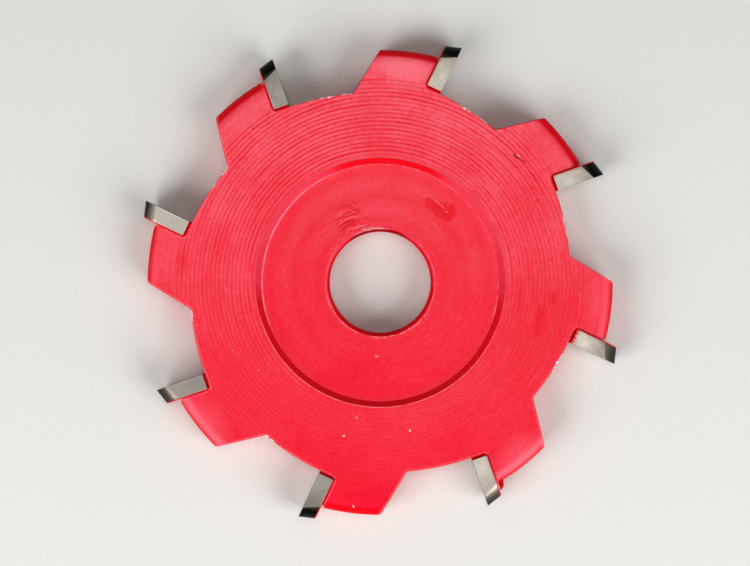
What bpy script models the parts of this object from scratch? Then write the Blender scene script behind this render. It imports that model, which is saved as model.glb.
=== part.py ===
"""Panel grooving cutter: a painted steel body with eight brazed carbide tips.

The body starts as a turned disc with a bore, a flange recess, a ridged face and a
rounded rim. Eight gullets, each with a tip seat, are milled through it. Each tip is
lofted from its cutting profile, on the rake face, to the relieved profile behind it.

Metres, +Z up. The bore's axis is Z, and the origin is under the bore, on the plane that
the cutter rests on, which the lower corners of the tips touch. Seen from above, the
cutter turns clockwise.
"""

import math

import bmesh
import bpy
from mathutils import Vector

MM = 0.001

# Cutting circle and groove
CUTTING_RADIUS = 62.5 * MM
TIP_WIDTH = 10.0 * MM
TIP_COUNT = 8
FIRST_TIP_ANGLE = math.radians(70.75)

# Turned body: the tips stand out of its rim and of both its faces
TIP_RIM_PROJECTION = 4.1 * MM
TIP_SIDE_PROJECTION = 0.8 * MM
RIM_ROUNDING = 1.9 * MM
BORE_RADIUS = 12.7 * MM
BORE_CHAMFER = 0.9 * MM

# Flange recess in the upper face
RECESS_RADIUS = 31.2 * MM
RECESS_DEPTH = 1.2 * MM
RECESS_WALL_RUN = 1.35 * MM

# Ridges that the facing tool left on the upper face, from beside the recess to the lobes
RIDGE_INNER_LAND = 0.9 * MM
RIDGE_PITCH = 1.04 * MM
RIDGE_HEIGHT = 0.06 * MM
RIDGE_OVERRUN = 1.6 * MM

# Carbide tips
TIP_LENGTH = 12.5 * MM
TIP_THICKNESS = 3.8 * MM
NOSE_FLATTENING = 0.6 * MM
NOSE_RELIEF = 0.6 * MM
RAKE_ANGLE = math.radians(6.25)
TOP_CLEARANCE = math.radians(18.5)
SIDE_CLEARANCE = math.radians(2.5)
RADIAL_CLEARANCE = math.radians(0.8)

# Seat that the tip is brazed into
SEAT_BACK_GAP = 0.35 * MM
SEAT_END_GAP = 0.6 * MM
SEAT_FILLET = 1.0 * MM
SEAT_LIP_FILLET = 0.9 * MM

# Gullet, with angles measured ahead of the tip's cutting corner
GULLET_FOOT_DROP = 1.65 * MM
GULLET_FOOT_ANGLE = math.radians(17.7)
GULLET_FLOOR_RADIUS = 64.0 * MM
GULLET_FOOT_FILLET = 0.7 * MM
FLANK_RIM_ANGLE = math.radians(25.75)
FLANK_CORNER_FILLET = 1.0 * MM

# Smoothness of the faceted solids
TURNING_STEPS = 96
ROUNDING_STEPS = 4
FILLET_STEPS = 4
LONG_ARC_STEPS = 7
NOSE_STEPS = 20
SMOOTH_ANGLE = math.radians(28)

# The milling outline stands off the turned shape by this much, so that they cross cleanly
CUT_MARGIN = 0.05 * MM
MERGE_DISTANCE = 0.001 * MM

# Places worked out from the sizes above
PITCH_ANGLE = math.tau / TIP_COUNT
MIDDLE_HEIGHT = TIP_WIDTH / 2
LOWER_FACE = TIP_SIDE_PROJECTION
UPPER_FACE = TIP_WIDTH - TIP_SIDE_PROJECTION
RECESS_FLOOR = UPPER_FACE - RECESS_DEPTH
RIM_RADIUS = CUTTING_RADIUS - TIP_RIM_PROJECTION
TIP_END_REACH = CUTTING_RADIUS * math.cos(RAKE_ANGLE)
TIP_ROOT_REACH = TIP_END_REACH - TIP_LENGTH
RAKE_OFFSET = CUTTING_RADIUS * math.sin(RAKE_ANGLE)
NOSE_RADIUS = TIP_WIDTH / 2 + NOSE_FLATTENING
SEAT_FLOOR_REACH = TIP_ROOT_REACH - SEAT_END_GAP
SEAT_CORNER_RADIUS = math.hypot(SEAT_FLOOR_REACH, RAKE_OFFSET)
GULLET_FOOT_RADIUS = SEAT_CORNER_RADIUS - GULLET_FOOT_DROP
FIRST_CREST_RADIUS = RECESS_RADIUS + RIDGE_INNER_LAND + RIDGE_PITCH / 2
RIDGE_COUNT = int((SEAT_CORNER_RADIUS + RIDGE_OVERRUN - FIRST_CREST_RADIUS) / RIDGE_PITCH) + 1


def polar(radius, angle):
    """Point of the plan at a radius and an angle."""
    return Vector((radius * math.cos(angle), radius * math.sin(angle)))


def arc(centre, radius, start, end, steps):
    """Points of an arc from one angle to another, both ends included."""
    return [centre + polar(radius, start + (end - start) * i / steps) for i in range(steps + 1)]


def angle_of(vector):
    """Direction of a plan vector."""
    return math.atan2(vector.y, vector.x)


def turn(start, end):
    """The angle nearest to start that has the direction of end."""
    return start + (end - start + math.pi) % math.tau - math.pi


def line_meets_circle(point, direction, centre, radius, near):
    """Crossing of a line and a circle that lies nearest to a given point."""
    along = (centre - point).dot(direction)
    foot = point + direction * along
    reach = math.sqrt(max(radius ** 2 - (foot - centre).length_squared, 0.0))
    crossings = (foot + direction * reach, foot - direction * reach)
    return min(crossings, key=lambda crossing: (crossing - near).length)


def blend_line_and_circle(point, direction, side, centre, radius, blend, outside, near):
    """Centre and tangent points of a fillet between a line and a circle.

    side is the unit normal towards the fillet's centre, and outside says whether the
    fillet lies outside the circle.
    """
    offset_radius = radius + blend if outside else radius - blend
    middle = line_meets_circle(point + side * blend, direction, centre, offset_radius, near)
    on_line = middle - side * blend
    on_circle = centre + (middle - centre).normalized() * radius
    return middle, on_line, on_circle


def fillet_arc(middle, blend, start_point, end_point):
    """Points of a fillet between its two tangent points."""
    start = angle_of(start_point - middle)
    end = turn(start, angle_of(end_point - middle))
    return arc(middle, blend, start, end, FILLET_STEPS)


def floor_centre(foot, seat_corner):
    """Centre of the gullet floor's arc through its foot and the seat's corner."""
    chord = seat_corner - foot
    half = chord.length / 2
    inward = Vector((-chord.y, chord.x)).normalized()
    if inward.dot(foot) > 0:
        inward = -inward
    depth = math.sqrt(GULLET_FLOOR_RADIUS ** 2 - half ** 2)
    return (foot + seat_corner) / 2 + inward * depth


def tooth_outline(tip_angle):
    """Plan outline of one gullet, one seat and the lobe's rim behind them.

    It runs anticlockwise, from the flank of the lobe ahead of the gullet to the rim
    behind the tip, up to where the next flank starts.
    """
    origin = Vector((0.0, 0.0))
    rim = RIM_RADIUS + CUT_MARGIN
    axis = polar(1.0, tip_angle - RAKE_ANGLE)
    back = polar(1.0, tip_angle - RAKE_ANGLE + math.pi / 2)

    rim_corner = polar(RIM_RADIUS, tip_angle - FLANK_RIM_ANGLE)
    foot = polar(GULLET_FOOT_RADIUS, tip_angle - GULLET_FOOT_ANGLE)
    flank = (foot - rim_corner).normalized()
    into_gullet = Vector((flank.y, -flank.x))

    seat_floor = axis * SEAT_FLOOR_REACH
    seat_corner = seat_floor + back * RAKE_OFFSET
    seat_wall = back * (RAKE_OFFSET + TIP_THICKNESS + SEAT_BACK_GAP)
    centre = floor_centre(foot, seat_corner)

    corner = blend_line_and_circle(
        rim_corner, flank, -into_gullet, origin, rim, FLANK_CORNER_FILLET, False, rim_corner)
    foot_blend = blend_line_and_circle(
        foot, flank, into_gullet, centre, GULLET_FLOOR_RADIUS, GULLET_FOOT_FILLET, True, foot)
    lip = blend_line_and_circle(
        seat_wall, axis, back, origin, rim, SEAT_LIP_FILLET, False, axis * rim)

    seat_middle = seat_floor + seat_wall + (axis - back) * SEAT_FILLET
    floor_start = angle_of(foot_blend[2] - centre)
    floor_end = turn(floor_start, angle_of(seat_corner - centre))
    rim_start = angle_of(lip[2])
    rim_end = turn(rim_start, angle_of(corner[2]) + PITCH_ANGLE)

    points = fillet_arc(corner[0], FLANK_CORNER_FILLET, corner[2], corner[1])
    points += fillet_arc(foot_blend[0], GULLET_FOOT_FILLET, foot_blend[1], foot_blend[2])
    points += arc(centre, GULLET_FLOOR_RADIUS, floor_start, floor_end, LONG_ARC_STEPS)[1:]
    points += fillet_arc(
        seat_middle, SEAT_FILLET, seat_middle - axis * SEAT_FILLET, seat_middle + back * SEAT_FILLET)
    points += fillet_arc(lip[0], SEAT_LIP_FILLET, lip[1], lip[2])
    points += arc(origin, rim, rim_start, rim_end, LONG_ARC_STEPS)[1:-1]
    return points


def ridge_profile():
    """Ridged part of the turned section, from its outer edge inwards."""
    points = []
    for index in reversed(range(RIDGE_COUNT)):
        crest = FIRST_CREST_RADIUS + index * RIDGE_PITCH
        points.append((crest + RIDGE_PITCH / 2, UPPER_FACE - RIDGE_HEIGHT))
        points.append((crest, UPPER_FACE))
    points.append((FIRST_CREST_RADIUS - RIDGE_PITCH / 2, UPPER_FACE - RIDGE_HEIGHT))
    return points


def rim_profile():
    """Rounded rim of the turned section, from the lower face to the upper one."""
    middle = RIM_RADIUS - RIM_ROUNDING
    points = []
    for height, start in ((LOWER_FACE + RIM_ROUNDING, -math.pi / 2), (UPPER_FACE - RIM_ROUNDING, 0.0)):
        for step in range(ROUNDING_STEPS + 1):
            angle = start + math.pi / 2 * step / ROUNDING_STEPS
            points.append((middle + RIM_ROUNDING * math.cos(angle),
                           height + RIM_ROUNDING * math.sin(angle)))
    return points


def body_profile():
    """Closed half section of the turned body as radius and height."""
    ridge_edge = FIRST_CREST_RADIUS + RIDGE_COUNT * RIDGE_PITCH
    points = [(BORE_RADIUS, LOWER_FACE + BORE_CHAMFER), (BORE_RADIUS + BORE_CHAMFER, LOWER_FACE)]
    points += rim_profile()
    points.append((ridge_edge, UPPER_FACE))
    points += ridge_profile()
    points += [
        (RECESS_RADIUS, UPPER_FACE),
        (RECESS_RADIUS - RECESS_WALL_RUN, RECESS_FLOOR),
        (BORE_RADIUS + BORE_CHAMFER, RECESS_FLOOR),
        (BORE_RADIUS, RECESS_FLOOR - BORE_CHAMFER),
    ]
    return points


def add_object(name, mesh_builder, material=None):
    """New object whose mesh is the finished bmesh, smooth except at its edges."""
    mesh = bpy.data.meshes.new(name)
    mesh_builder.to_mesh(mesh)
    mesh_builder.free()
    mesh.shade_smooth()
    mesh.set_sharp_from_angle(angle=SMOOTH_ANGLE)
    piece = bpy.data.objects.new(name, mesh)
    bpy.context.scene.collection.objects.link(piece)
    if material is not None:
        mesh.materials.append(material)
    return piece


def turned_disc(name, profile, material):
    """Solid of revolution round the Z axis from a closed half section."""
    builder = bmesh.new()
    ring = [builder.verts.new((radius, 0.0, height)) for radius, height in profile]
    edges = [builder.edges.new((ring[i - 1], ring[i])) for i in range(len(ring))]
    bmesh.ops.spin(builder, geom=edges, cent=(0, 0, 0), axis=(0, 0, 1), dvec=(0, 0, 0),
                   angle=math.tau, steps=TURNING_STEPS, use_merge=False)
    bmesh.ops.remove_doubles(builder, verts=builder.verts, dist=MERGE_DISTANCE)
    bmesh.ops.recalc_face_normals(builder, faces=builder.faces)
    return add_object(name, builder, material)


def milling_outline(name):
    """Prism over the whole toothed outline, which the turned disc is cut to."""
    outline = []
    for index in range(TIP_COUNT):
        outline += tooth_outline(index * PITCH_ANGLE + FIRST_TIP_ANGLE)
    builder = bmesh.new()
    floor = [builder.verts.new((point.x, point.y, -TIP_WIDTH)) for point in outline]
    face = builder.faces.new(floor)
    extruded = bmesh.ops.extrude_face_region(builder, geom=[face])
    upper = [item for item in extruded["geom"] if isinstance(item, bmesh.types.BMVert)]
    bmesh.ops.translate(builder, verts=upper, vec=(0, 0, 3 * TIP_WIDTH))
    bmesh.ops.recalc_face_normals(builder, faces=builder.faces)
    cutter = add_object(name, builder)
    cutter.hide_render = True
    cutter.display_type = "WIRE"
    return cutter


def tip_profile(radius, half_width, end_reach):
    """Cutting profile as reach along the tip and height from its middle.

    The nose is one arc, and the flanks run from it to the root, drawn in by the radial
    clearance.
    """
    middle = end_reach - radius
    spread = math.asin(min(half_width / radius, 1.0))
    crease = middle + radius * math.cos(spread)
    root_half_width = half_width - (crease - TIP_ROOT_REACH) * math.tan(RADIAL_CLEARANCE)
    points = [(TIP_ROOT_REACH, -root_half_width)]
    for step in range(NOSE_STEPS + 1):
        angle = spread * (2 * step / NOSE_STEPS - 1)
        points.append((middle + radius * math.cos(angle), radius * math.sin(angle)))
    points.append((TIP_ROOT_REACH, root_half_width))
    return points


def carbide_tip(name, tip_angle, material):
    """Tip lofted from the rake face's profile to the relieved profile at its back."""
    axis = polar(1.0, tip_angle - RAKE_ANGLE)
    back = polar(1.0, tip_angle - RAKE_ANGLE + math.pi / 2)
    front_half = TIP_WIDTH / 2
    rear_half = front_half - TIP_THICKNESS * math.tan(SIDE_CLEARANCE)
    rear_end = TIP_END_REACH - TIP_THICKNESS * math.tan(TOP_CLEARANCE)
    sections = (
        (RAKE_OFFSET, tip_profile(NOSE_RADIUS, front_half, TIP_END_REACH)),
        (RAKE_OFFSET + TIP_THICKNESS, tip_profile(NOSE_RADIUS - NOSE_RELIEF, rear_half, rear_end)),
    )
    builder = bmesh.new()
    loops = []
    for offset, profile in sections:
        ring = []
        for reach, height in profile:
            place = axis * reach + back * offset
            ring.append(builder.verts.new((place.x, place.y, MIDDLE_HEIGHT + height)))
        loops.append(ring)
        builder.faces.new(ring)
    edges = [builder.edges.get((ring[i - 1], ring[i])) for ring in loops for i in range(len(ring))]
    bmesh.ops.bridge_loops(builder, edges=edges)
    bmesh.ops.recalc_face_normals(builder, faces=builder.faces)
    return add_object(name, builder, material)


def surface(name, colour, roughness, metallic):
    """Principled material with one colour, roughness and metallic value."""
    material = bpy.data.materials.new(name)
    material.use_nodes = True
    shader = material.node_tree.nodes["Principled BSDF"]
    shader.inputs["Base Color"].default_value = (*colour, 1.0)
    shader.inputs["Roughness"].default_value = roughness
    shader.inputs["Metallic"].default_value = metallic
    material.diffuse_color = (*colour, 1.0)
    return material


def main():
    """Clear the scene, then build the body and its tips."""
    for existing in list(bpy.data.objects):
        bpy.data.objects.remove(existing, do_unlink=True)

    paint = surface("satin red paint", (0.84, 0.012, 0.030), 0.35, 0.0)
    carbide = surface("ground tungsten carbide", (0.60, 0.58, 0.55), 0.38, 1.0)

    body = turned_disc("body", body_profile(), paint)
    cut = body.modifiers.new("milled gullets and seats", "BOOLEAN")
    cut.operation = "INTERSECT"
    cut.solver = "EXACT"
    cut.object = milling_outline("milling_outline")

    # Numbered clockwise, which is the way the cutter turns
    for index in range(TIP_COUNT):
        carbide_tip(f"tip_{index + 1}", FIRST_TIP_ANGLE - index * PITCH_ANGLE, carbide)


main()
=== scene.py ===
"""Looks of the panel grooving cutter: finished pieces, their materials, light and camera.

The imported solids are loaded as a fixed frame. The body and the tips are made again with
the fine surface that the solids leave out: softened edges, the facing tool's ridges, the
paint over them, its wear, the braze in the seats and the ground carbide. Plan sizes are
real millimetres, and each mesh is written in metres in the frame of the solids: +Z up
along the bore, the origin under the bore's centre.
"""

import logging
import math
from dataclasses import dataclass, field
from enum import Enum
from typing import Any, Sequence

import bmesh
import bpy
import numpy as np
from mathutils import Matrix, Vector
from mathutils.geometry import delaunay_2d_cdt


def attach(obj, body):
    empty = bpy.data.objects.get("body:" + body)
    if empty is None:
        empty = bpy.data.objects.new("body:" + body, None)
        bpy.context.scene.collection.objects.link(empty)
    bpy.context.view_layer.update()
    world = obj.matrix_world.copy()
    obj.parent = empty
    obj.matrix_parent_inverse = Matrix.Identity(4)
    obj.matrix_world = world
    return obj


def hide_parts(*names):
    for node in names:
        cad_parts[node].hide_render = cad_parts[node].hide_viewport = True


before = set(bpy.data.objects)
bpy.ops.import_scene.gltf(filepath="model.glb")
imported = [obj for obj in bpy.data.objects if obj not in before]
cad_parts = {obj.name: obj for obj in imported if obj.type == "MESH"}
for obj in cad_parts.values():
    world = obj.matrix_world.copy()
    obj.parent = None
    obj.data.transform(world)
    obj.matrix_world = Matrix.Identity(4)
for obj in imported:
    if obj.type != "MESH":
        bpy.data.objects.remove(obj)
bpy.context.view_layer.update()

Socket = bpy.types.NodeSocket
Material = bpy.types.Material
Piece = bpy.types.Object
Builder = bmesh.types.BMesh
Layer = bmesh.types.BMLayerItem
Ring = Sequence[bmesh.types.BMVert]

MM = 0.001
BODY = "root"
MERGE_DISTANCE = 0.0005 * MM
LOG = logging.getLogger("cutter")


@dataclass(frozen=True)
class CutterSizes:
    """Driving sizes of the cutter in millimetres, the same as those of the solids."""

    cutting_radius: float = 62.5
    tip_width: float = 10.0
    tip_count: int = 8
    first_tip_angle: float = math.radians(70.75)
    tip_rim_projection: float = 4.1
    tip_side_projection: float = 0.8
    rim_rounding: float = 1.9
    bore_radius: float = 12.7
    bore_chamfer: float = 0.9
    recess_radius: float = 31.2
    recess_depth: float = 1.2
    recess_wall_run: float = 1.35
    ridge_inner_land: float = 0.9
    ridge_pitch: float = 1.04
    ridge_count: int = 18
    tip_length: float = 12.5
    tip_thickness: float = 3.8
    nose_flattening: float = 0.6
    nose_relief: float = 0.6
    rake_angle: float = math.radians(6.25)
    top_clearance: float = math.radians(18.5)
    side_clearance: float = math.radians(2.5)
    radial_clearance: float = math.radians(0.8)
    seat_back_gap: float = 0.35
    seat_end_gap: float = 0.6
    seat_fillet: float = 1.0
    seat_lip_fillet: float = 0.9
    gullet_foot_drop: float = 1.65
    gullet_foot_angle: float = math.radians(17.7)
    gullet_floor_radius: float = 64.0
    gullet_foot_fillet: float = 0.7
    flank_rim_angle: float = math.radians(25.75)
    flank_corner_fillet: float = 1.0

    @property
    def pitch_angle(self) -> float:
        """Angle from one tooth to the next."""
        return math.tau / self.tip_count

    @property
    def middle_height(self) -> float:
        """Height of the plane halfway up the cutter."""
        return self.tip_width / 2

    @property
    def lower_face(self) -> float:
        """Height of the body's underside."""
        return self.tip_side_projection

    @property
    def upper_face(self) -> float:
        """Height of the body's upper face."""
        return self.tip_width - self.tip_side_projection

    @property
    def recess_floor(self) -> float:
        """Height of the flange recess's floor."""
        return self.upper_face - self.recess_depth

    @property
    def rim_radius(self) -> float:
        """Radius of the body's rim."""
        return self.cutting_radius - self.tip_rim_projection

    @property
    def first_crest(self) -> float:
        """Radius of the innermost ridge's crest."""
        return self.recess_radius + self.ridge_inner_land + self.ridge_pitch / 2

    @property
    def rake_offset(self) -> float:
        """Distance of the rake face's plane from the bore's axis."""
        return self.cutting_radius * math.sin(self.rake_angle)

    @property
    def back_offset(self) -> float:
        """Distance of the plane of the tip's back from the bore's axis."""
        return self.rake_offset + self.tip_thickness

    @property
    def tip_end_reach(self) -> float:
        """How far the tip's nose reaches along the tip's own axis."""
        return self.cutting_radius * math.cos(self.rake_angle)

    @property
    def tip_root_reach(self) -> float:
        """How far along its own axis the tip starts."""
        return self.tip_end_reach - self.tip_length

    @property
    def seat_floor_reach(self) -> float:
        """How far along the tip's axis the seat's floor lies."""
        return self.tip_root_reach - self.seat_end_gap


SIZES = CutterSizes()


def linear(code: str) -> tuple[float, float, float, float]:
    """Turn an sRGB hex colour into linear light.

    Args:
        code: Colour as #RRGGBB.

    Returns:
        Red, green, blue and full alpha for a node's socket.
    """
    shares = [int(code[place:place + 2], 16) / 255 for place in (1, 3, 5)]
    light = [share / 12.92 if share <= 0.04045 else ((share + 0.055) / 1.055) ** 2.4 for share in shares]
    return (light[0], light[1], light[2], 1.0)


class Tree:
    """Node tree under construction.

    Inputs go in the node's own order where they have no names here: Map Range takes its
    value, the two ends it comes from and the two it goes to, and Noise its vector, W, scale,
    detail and roughness. A colour Mix has its factor at 0 and its colours at 6 and 7.
    """

    def __init__(self, tree: bpy.types.NodeTree) -> None:
        """Take a tree and empty it."""
        self.tree = tree
        tree.nodes.clear()

    def add(self, kind: str, inputs: Sequence[Any] | dict[Any, Any] = (), out: int | str = 0,
            **settings: Any) -> Socket | None:
        """Add a node with its settings and its inputs.

        Args:
            kind: Identifier of the node's type, for a shader node without ShaderNode.
            inputs: Values, or sockets to link from, in order or by the input's name or
                place. None leaves an input as it is.
            out: Name or place of the output to hand back.
            settings: Properties of the node by name.

        Returns:
            The output, or None where the node has none.
        """
        whole = kind if kind.startswith(("Geometry", "Function", "NodeGroup")) else f"ShaderNode{kind}"
        node = self.tree.nodes.new(whole)
        for name, value in settings.items():
            setattr(node, name, value)
        for key, value in inputs.items() if isinstance(inputs, dict) else enumerate(inputs):
            if isinstance(value, Socket):
                self.tree.links.new(value, node.inputs[key])
            elif value is not None:
                node.inputs[key].default_value = value
        return node.outputs[out] if len(node.outputs) else None


class Surface(Tree):
    """Material with one Principled shader, under construction."""

    def __init__(self, name: str) -> None:
        """Start a material.

        Args:
            name: Name of the finish.
        """
        self.material = bpy.data.materials.new(name)
        self.material.use_nodes = True
        super().__init__(self.material.node_tree)

    def finish(self, inputs: dict[str, Any]) -> Material:
        """Add the shader.

        Args:
            inputs: Its values, or sockets to link from, by the input's name.

        Returns:
            The finished material.
        """
        self.add("OutputMaterial", [self.add("BsdfPrincipled", inputs)])
        return self.material


class Wear(Enum):
    """What a mark on the paint shows."""

    SCRATCH = "#1B0A0A"
    CRACK = "#9A4A52"
    BARE = "#A89C9C"
    SPECK = "#F2E4E2"
    STREAK = "#FF8C9C"
    SCUFF = "#E6001A"
    BRUSHED = "#DC001A"
    # Pale overspray together with painted sheen
    DUST = "#FC7484"


@dataclass(frozen=True)
class PaintMark:
    """One worn place on the paint, as a ragged ellipse in plan."""

    place: tuple[float, float]
    length: float
    width: float
    heading: float
    wear: Wear
    raggedness: float = 0.6
    strength: float = 1.0
    core: float = 0.75

    def mask(self, tree: Tree, where: Socket, ragged: Socket) -> Socket:
        """Build the nodes that find the mark.

        Args:
            tree: Tree of the paint's material.
            where: Object coordinates with their height taken out.
            ragged: Noise that frays the mark's outline.

        Returns:
            Socket that is the mark's strength in it and 0 away from it.
        """
        local = tree.add("Mapping", [
            where, (self.place[0] * MM, self.place[1] * MM, 0.0), (0.0, 0.0, math.radians(self.heading)),
            (self.length / 2 * MM, self.width / 2 * MM, 1.0)], vector_type="TEXTURE")
        reach = tree.add("VectorMath", [local], "Value", operation="LENGTH")
        frayed = tree.add("Math", [ragged, 2 * self.raggedness, reach], operation="MULTIPLY_ADD")
        return tree.add("MapRange", [
            frayed, self.core + self.raggedness, 1.05 + self.raggedness, self.strength, 0.0])


# Places in millimetres from the bore's axis, +Y towards the upper edge of the view
PAINT_MARKS = (
    # Overspray with painted sheen on the faces of the teeth
    PaintMark((6.0, 53.8), 18.0, 11.0, -6.5, Wear.DUST, 0.5, 0.64, 0.4),
    PaintMark((-33.2, 41.8), 16.0, 11.0, 38.5, Wear.DUST, 0.5, 0.06, 0.2),
    PaintMark((54.4, -6.2), 16.0, 9.0, 83.5, Wear.DUST, 0.4, 0.20, 0.1),
    PaintMark((34.9, -43.9), 18.0, 12.0, 38.5, Wear.DUST, 0.4, 0.36, 0.1),
    PaintMark((-43.7, -34.7), 18.0, 12.0, -51.5, Wear.DUST, 0.4, 0.27, 0.1),
    PaintMark((-55.2, 6.3), 14.0, 6.0, 83.5, Wear.DUST, 0.4, 0.10, 0.1),
    PaintMark((39.6, -10.6), 48.0, 26.0, 75.0, Wear.SCUFF, 0.3, 0.38, 0.4),
    PaintMark((43.0, -4.0), 4.4, 2.6, 84.0, Wear.SCUFF, 1.4, 0.75, 0.1),
    PaintMark((40.2, -7.6), 6.4, 3.4, 66.0, Wear.SCUFF, 1.6, 0.70, 0.1),
    PaintMark((39.4, -11.4), 7.0, 4.4, 74.0, Wear.SCUFF, 1.6, 0.60, 0.1),
    PaintMark((-49.3, 5.1), 8.0, 4.4, 85.0, Wear.SCUFF, 1.5, 0.55, 0.1),
    PaintMark((0.6, 51.6), 2.8, 2.2, 30.0, Wear.SCUFF, 0.8, 0.30),
    PaintMark((-2.6, 50.1), 1.0, 0.7, 60.0, Wear.SCUFF, 0.6, 0.45),
    PaintMark((1.2, 54.4), 0.8, 0.4, 10.0, Wear.SCUFF, 0.6, 0.45),
    PaintMark((-0.4, 54.9), 0.7, 0.4, 40.0, Wear.SCUFF, 0.6, 0.4),
    PaintMark((31.0, 38.4), 2.4, 0.5, -40.0, Wear.SCUFF, 0.8, 0.8),
    PaintMark((34.6, 34.2), 1.6, 0.5, -60.0, Wear.SCUFF, 0.8, 0.8),
    PaintMark((38.2, 26.9), 1.8, 0.5, -55.0, Wear.SCUFF, 0.8, 0.8),
    PaintMark((39.3, 20.6), 1.6, 0.45, 20.0, Wear.SCUFF, 0.8, 0.7),
    PaintMark((15.2, 18.2), 6.0, 5.0, -35.0, Wear.SCUFF, 1.1, 0.85),
    PaintMark((12.6, 19.9), 4.0, 2.6, -25.0, Wear.SCUFF, 1.0, 0.85),
    PaintMark((17.4, 17.5), 5.2, 3.4, 62.0, Wear.SCUFF, 0.7),
    PaintMark((15.6, 18.1), 4.4, 2.2, -50.0, Wear.SCUFF, 0.7),
    PaintMark((14.6, 19.9), 4.6, 0.26, -42.0, Wear.STREAK, 0.3, 0.45),
    PaintMark((16.7, 17.7), 0.9, 0.36, -40.0, Wear.STREAK, 0.3, 0.4),
    PaintMark((13.4, 16.8), 4.6, 0.26, -40.0, Wear.STREAK, 0.3, 0.2),
    PaintMark((18.0, 20.2), 3.0, 0.4, -48.0, Wear.STREAK, 0.5, 0.1),
    PaintMark((-8.3, 16.4), 8.6, 6.2, 62.0, Wear.BRUSHED, 0.9),
    PaintMark((-5.4, 14.2), 8.0, 2.4, 25.0, Wear.BRUSHED, 0.9, 0.9),
    PaintMark((33.9, 31.5), 2.3, 0.36, -40.0, Wear.SCRATCH, 0.5),
    PaintMark((34.6, 31.7), 1.1, 0.2, -44.0, Wear.SPECK, 0.3, 0.5),
    PaintMark((35.6, 30.5), 2.8, 0.22, -30.0, Wear.SCRATCH, 0.45, 0.85),
    PaintMark((-0.8, 13.72), 2.4, 0.4, 3.0, Wear.BARE, 1.0, 0.6),
    PaintMark((-3.2, 13.5), 3.0, 0.4, 14.0, Wear.BARE, 1.2, 0.6),
    PaintMark((-5.0, 13.9), 3.6, 0.3, 24.0, Wear.STREAK, 0.8, 0.5),
    PaintMark((-28.0, 42.0), 4.4, 0.2, 74.0, Wear.CRACK, 0.4, 0.8),
    PaintMark((-29.8, 38.9), 3.2, 0.2, 18.0, Wear.CRACK, 0.4, 0.7),
    PaintMark((-31.9, 38.5), 0.9, 0.26, -35.0, Wear.SCRATCH, 0.4, 0.6),
    PaintMark((-9.1, -38.4), 0.62, 0.42, 20.0, Wear.SPECK, 0.3),
    PaintMark((7.4, -37.1), 0.66, 0.42, 70.0, Wear.SPECK, 0.3),
    PaintMark((-6.7, -56.1), 0.75, 0.3, -70.0, Wear.SPECK, 0.2),
    PaintMark((-5.9, -33.8), 0.7, 0.4, 30.0, Wear.STREAK, 0.3),
    PaintMark((-30.4, -22.0), 0.5, 0.3, 40.0, Wear.STREAK, 0.3),
    PaintMark((-36.9, -17.0), 0.5, 0.3, 10.0, Wear.STREAK, 0.3),
    PaintMark((-0.9, -18.6), 0.9, 0.45, -10.0, Wear.STREAK, 0.3),
    PaintMark((31.0, -51.4), 0.9, 0.4, -50.0, Wear.STREAK, 0.3),
)


@dataclass(frozen=True)
class LightAndWearRing:
    """Ring on an edge of the turned body. Most are painted highlights and sheen where an edge
    faces a lamp, one is painted shade down the bore's wall, and the rest are paint rubbed thin,
    grime and faint lines.

    It is drawn within spread degrees on either side of its heading, and broken up so that
    about its share of that stretch shows. A line on a wall runs down it; the others keep to
    the upper side.
    """

    radius: float
    width: float
    colour: str
    share: float
    heading: float = 90.0
    spread: float = 180.0
    on_wall: bool = False


LIGHT_AND_WEAR_RINGS = (
    # Painted sheen on the recess's wall where it faces the side lamps
    LightAndWearRing(30.5, 2.4, "#E83650", 1.0, 148.0, 28.0),
    LightAndWearRing(30.5, 2.4, "#E6304A", 1.0, 26.0, 26.0),
    # Painted shade: a darker red down the bore's wall
    LightAndWearRing(12.55, 0.7, "#B4000A", 1.0, on_wall=True),
    # Painted highlights on the bore's chamfer where it faces the side lamps
    LightAndWearRing(13.48, 0.6, "#E8465C", 1.0, 148.0, 56.0),
    LightAndWearRing(13.48, 0.6, "#E43C54", 1.0, 30.0, 26.0),
    # Painted highlights on the rims of the teeth that face the lamps
    LightAndWearRing(56.7, 2.2, "#FF5062", 1.0, -6.5, 9.0),
    LightAndWearRing(56.7, 2.6, "#FF6072", 1.0, -51.5, 9.0),
    LightAndWearRing(56.7, 2.6, "#FF5C6E", 1.0, -141.5, 9.0),
    LightAndWearRing(56.6, 2.2, "#FC4E60", 1.0, 173.5, 9.0),
    # Painted highlights along the bore's lip, round its lower side
    LightAndWearRing(13.72, 0.20, "#FF8896", 0.60, 270.0, 128.0),
    LightAndWearRing(13.95, 0.20, "#FFA0A8", 0.45, 262.0, 60.0),
    LightAndWearRing(14.2, 0.22, "#F9677B", 0.50, 128.0, 26.0),
    LightAndWearRing(14.9, 0.22, "#F9677B", 0.45, 118.0, 30.0),
    # Paint rubbed thin to grey at the top of the bore's lip, and grime beside it
    LightAndWearRing(13.50, 0.42, "#C4B0B2", 0.55, 99.0, 7.0),
    LightAndWearRing(13.05, 0.70, "#5A1018", 0.95, 92.0, 26.0),
    LightAndWearRing(14.0, 0.30, "#6E1820", 0.40, 78.0, 24.0),
    LightAndWearRing(16.3, 0.20, "#8E3A40", 0.16, 280.0, 60.0),
    # Painted highlights along the foot of the recess's wall
    LightAndWearRing(29.62, 0.40, "#FC7484", 0.45, 88.0, 104.0),
    LightAndWearRing(29.66, 0.44, "#FF8494", 0.75, 158.0, 34.0),
    LightAndWearRing(31.25, 0.18, "#8E4A54", 0.62, 105.0, 112.0),
    # Painted highlight on the recess's upper edge on the -Y side
    LightAndWearRing(31.28, 0.22, "#FF8494", 0.75, 268.0, 62.0),
)


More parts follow.
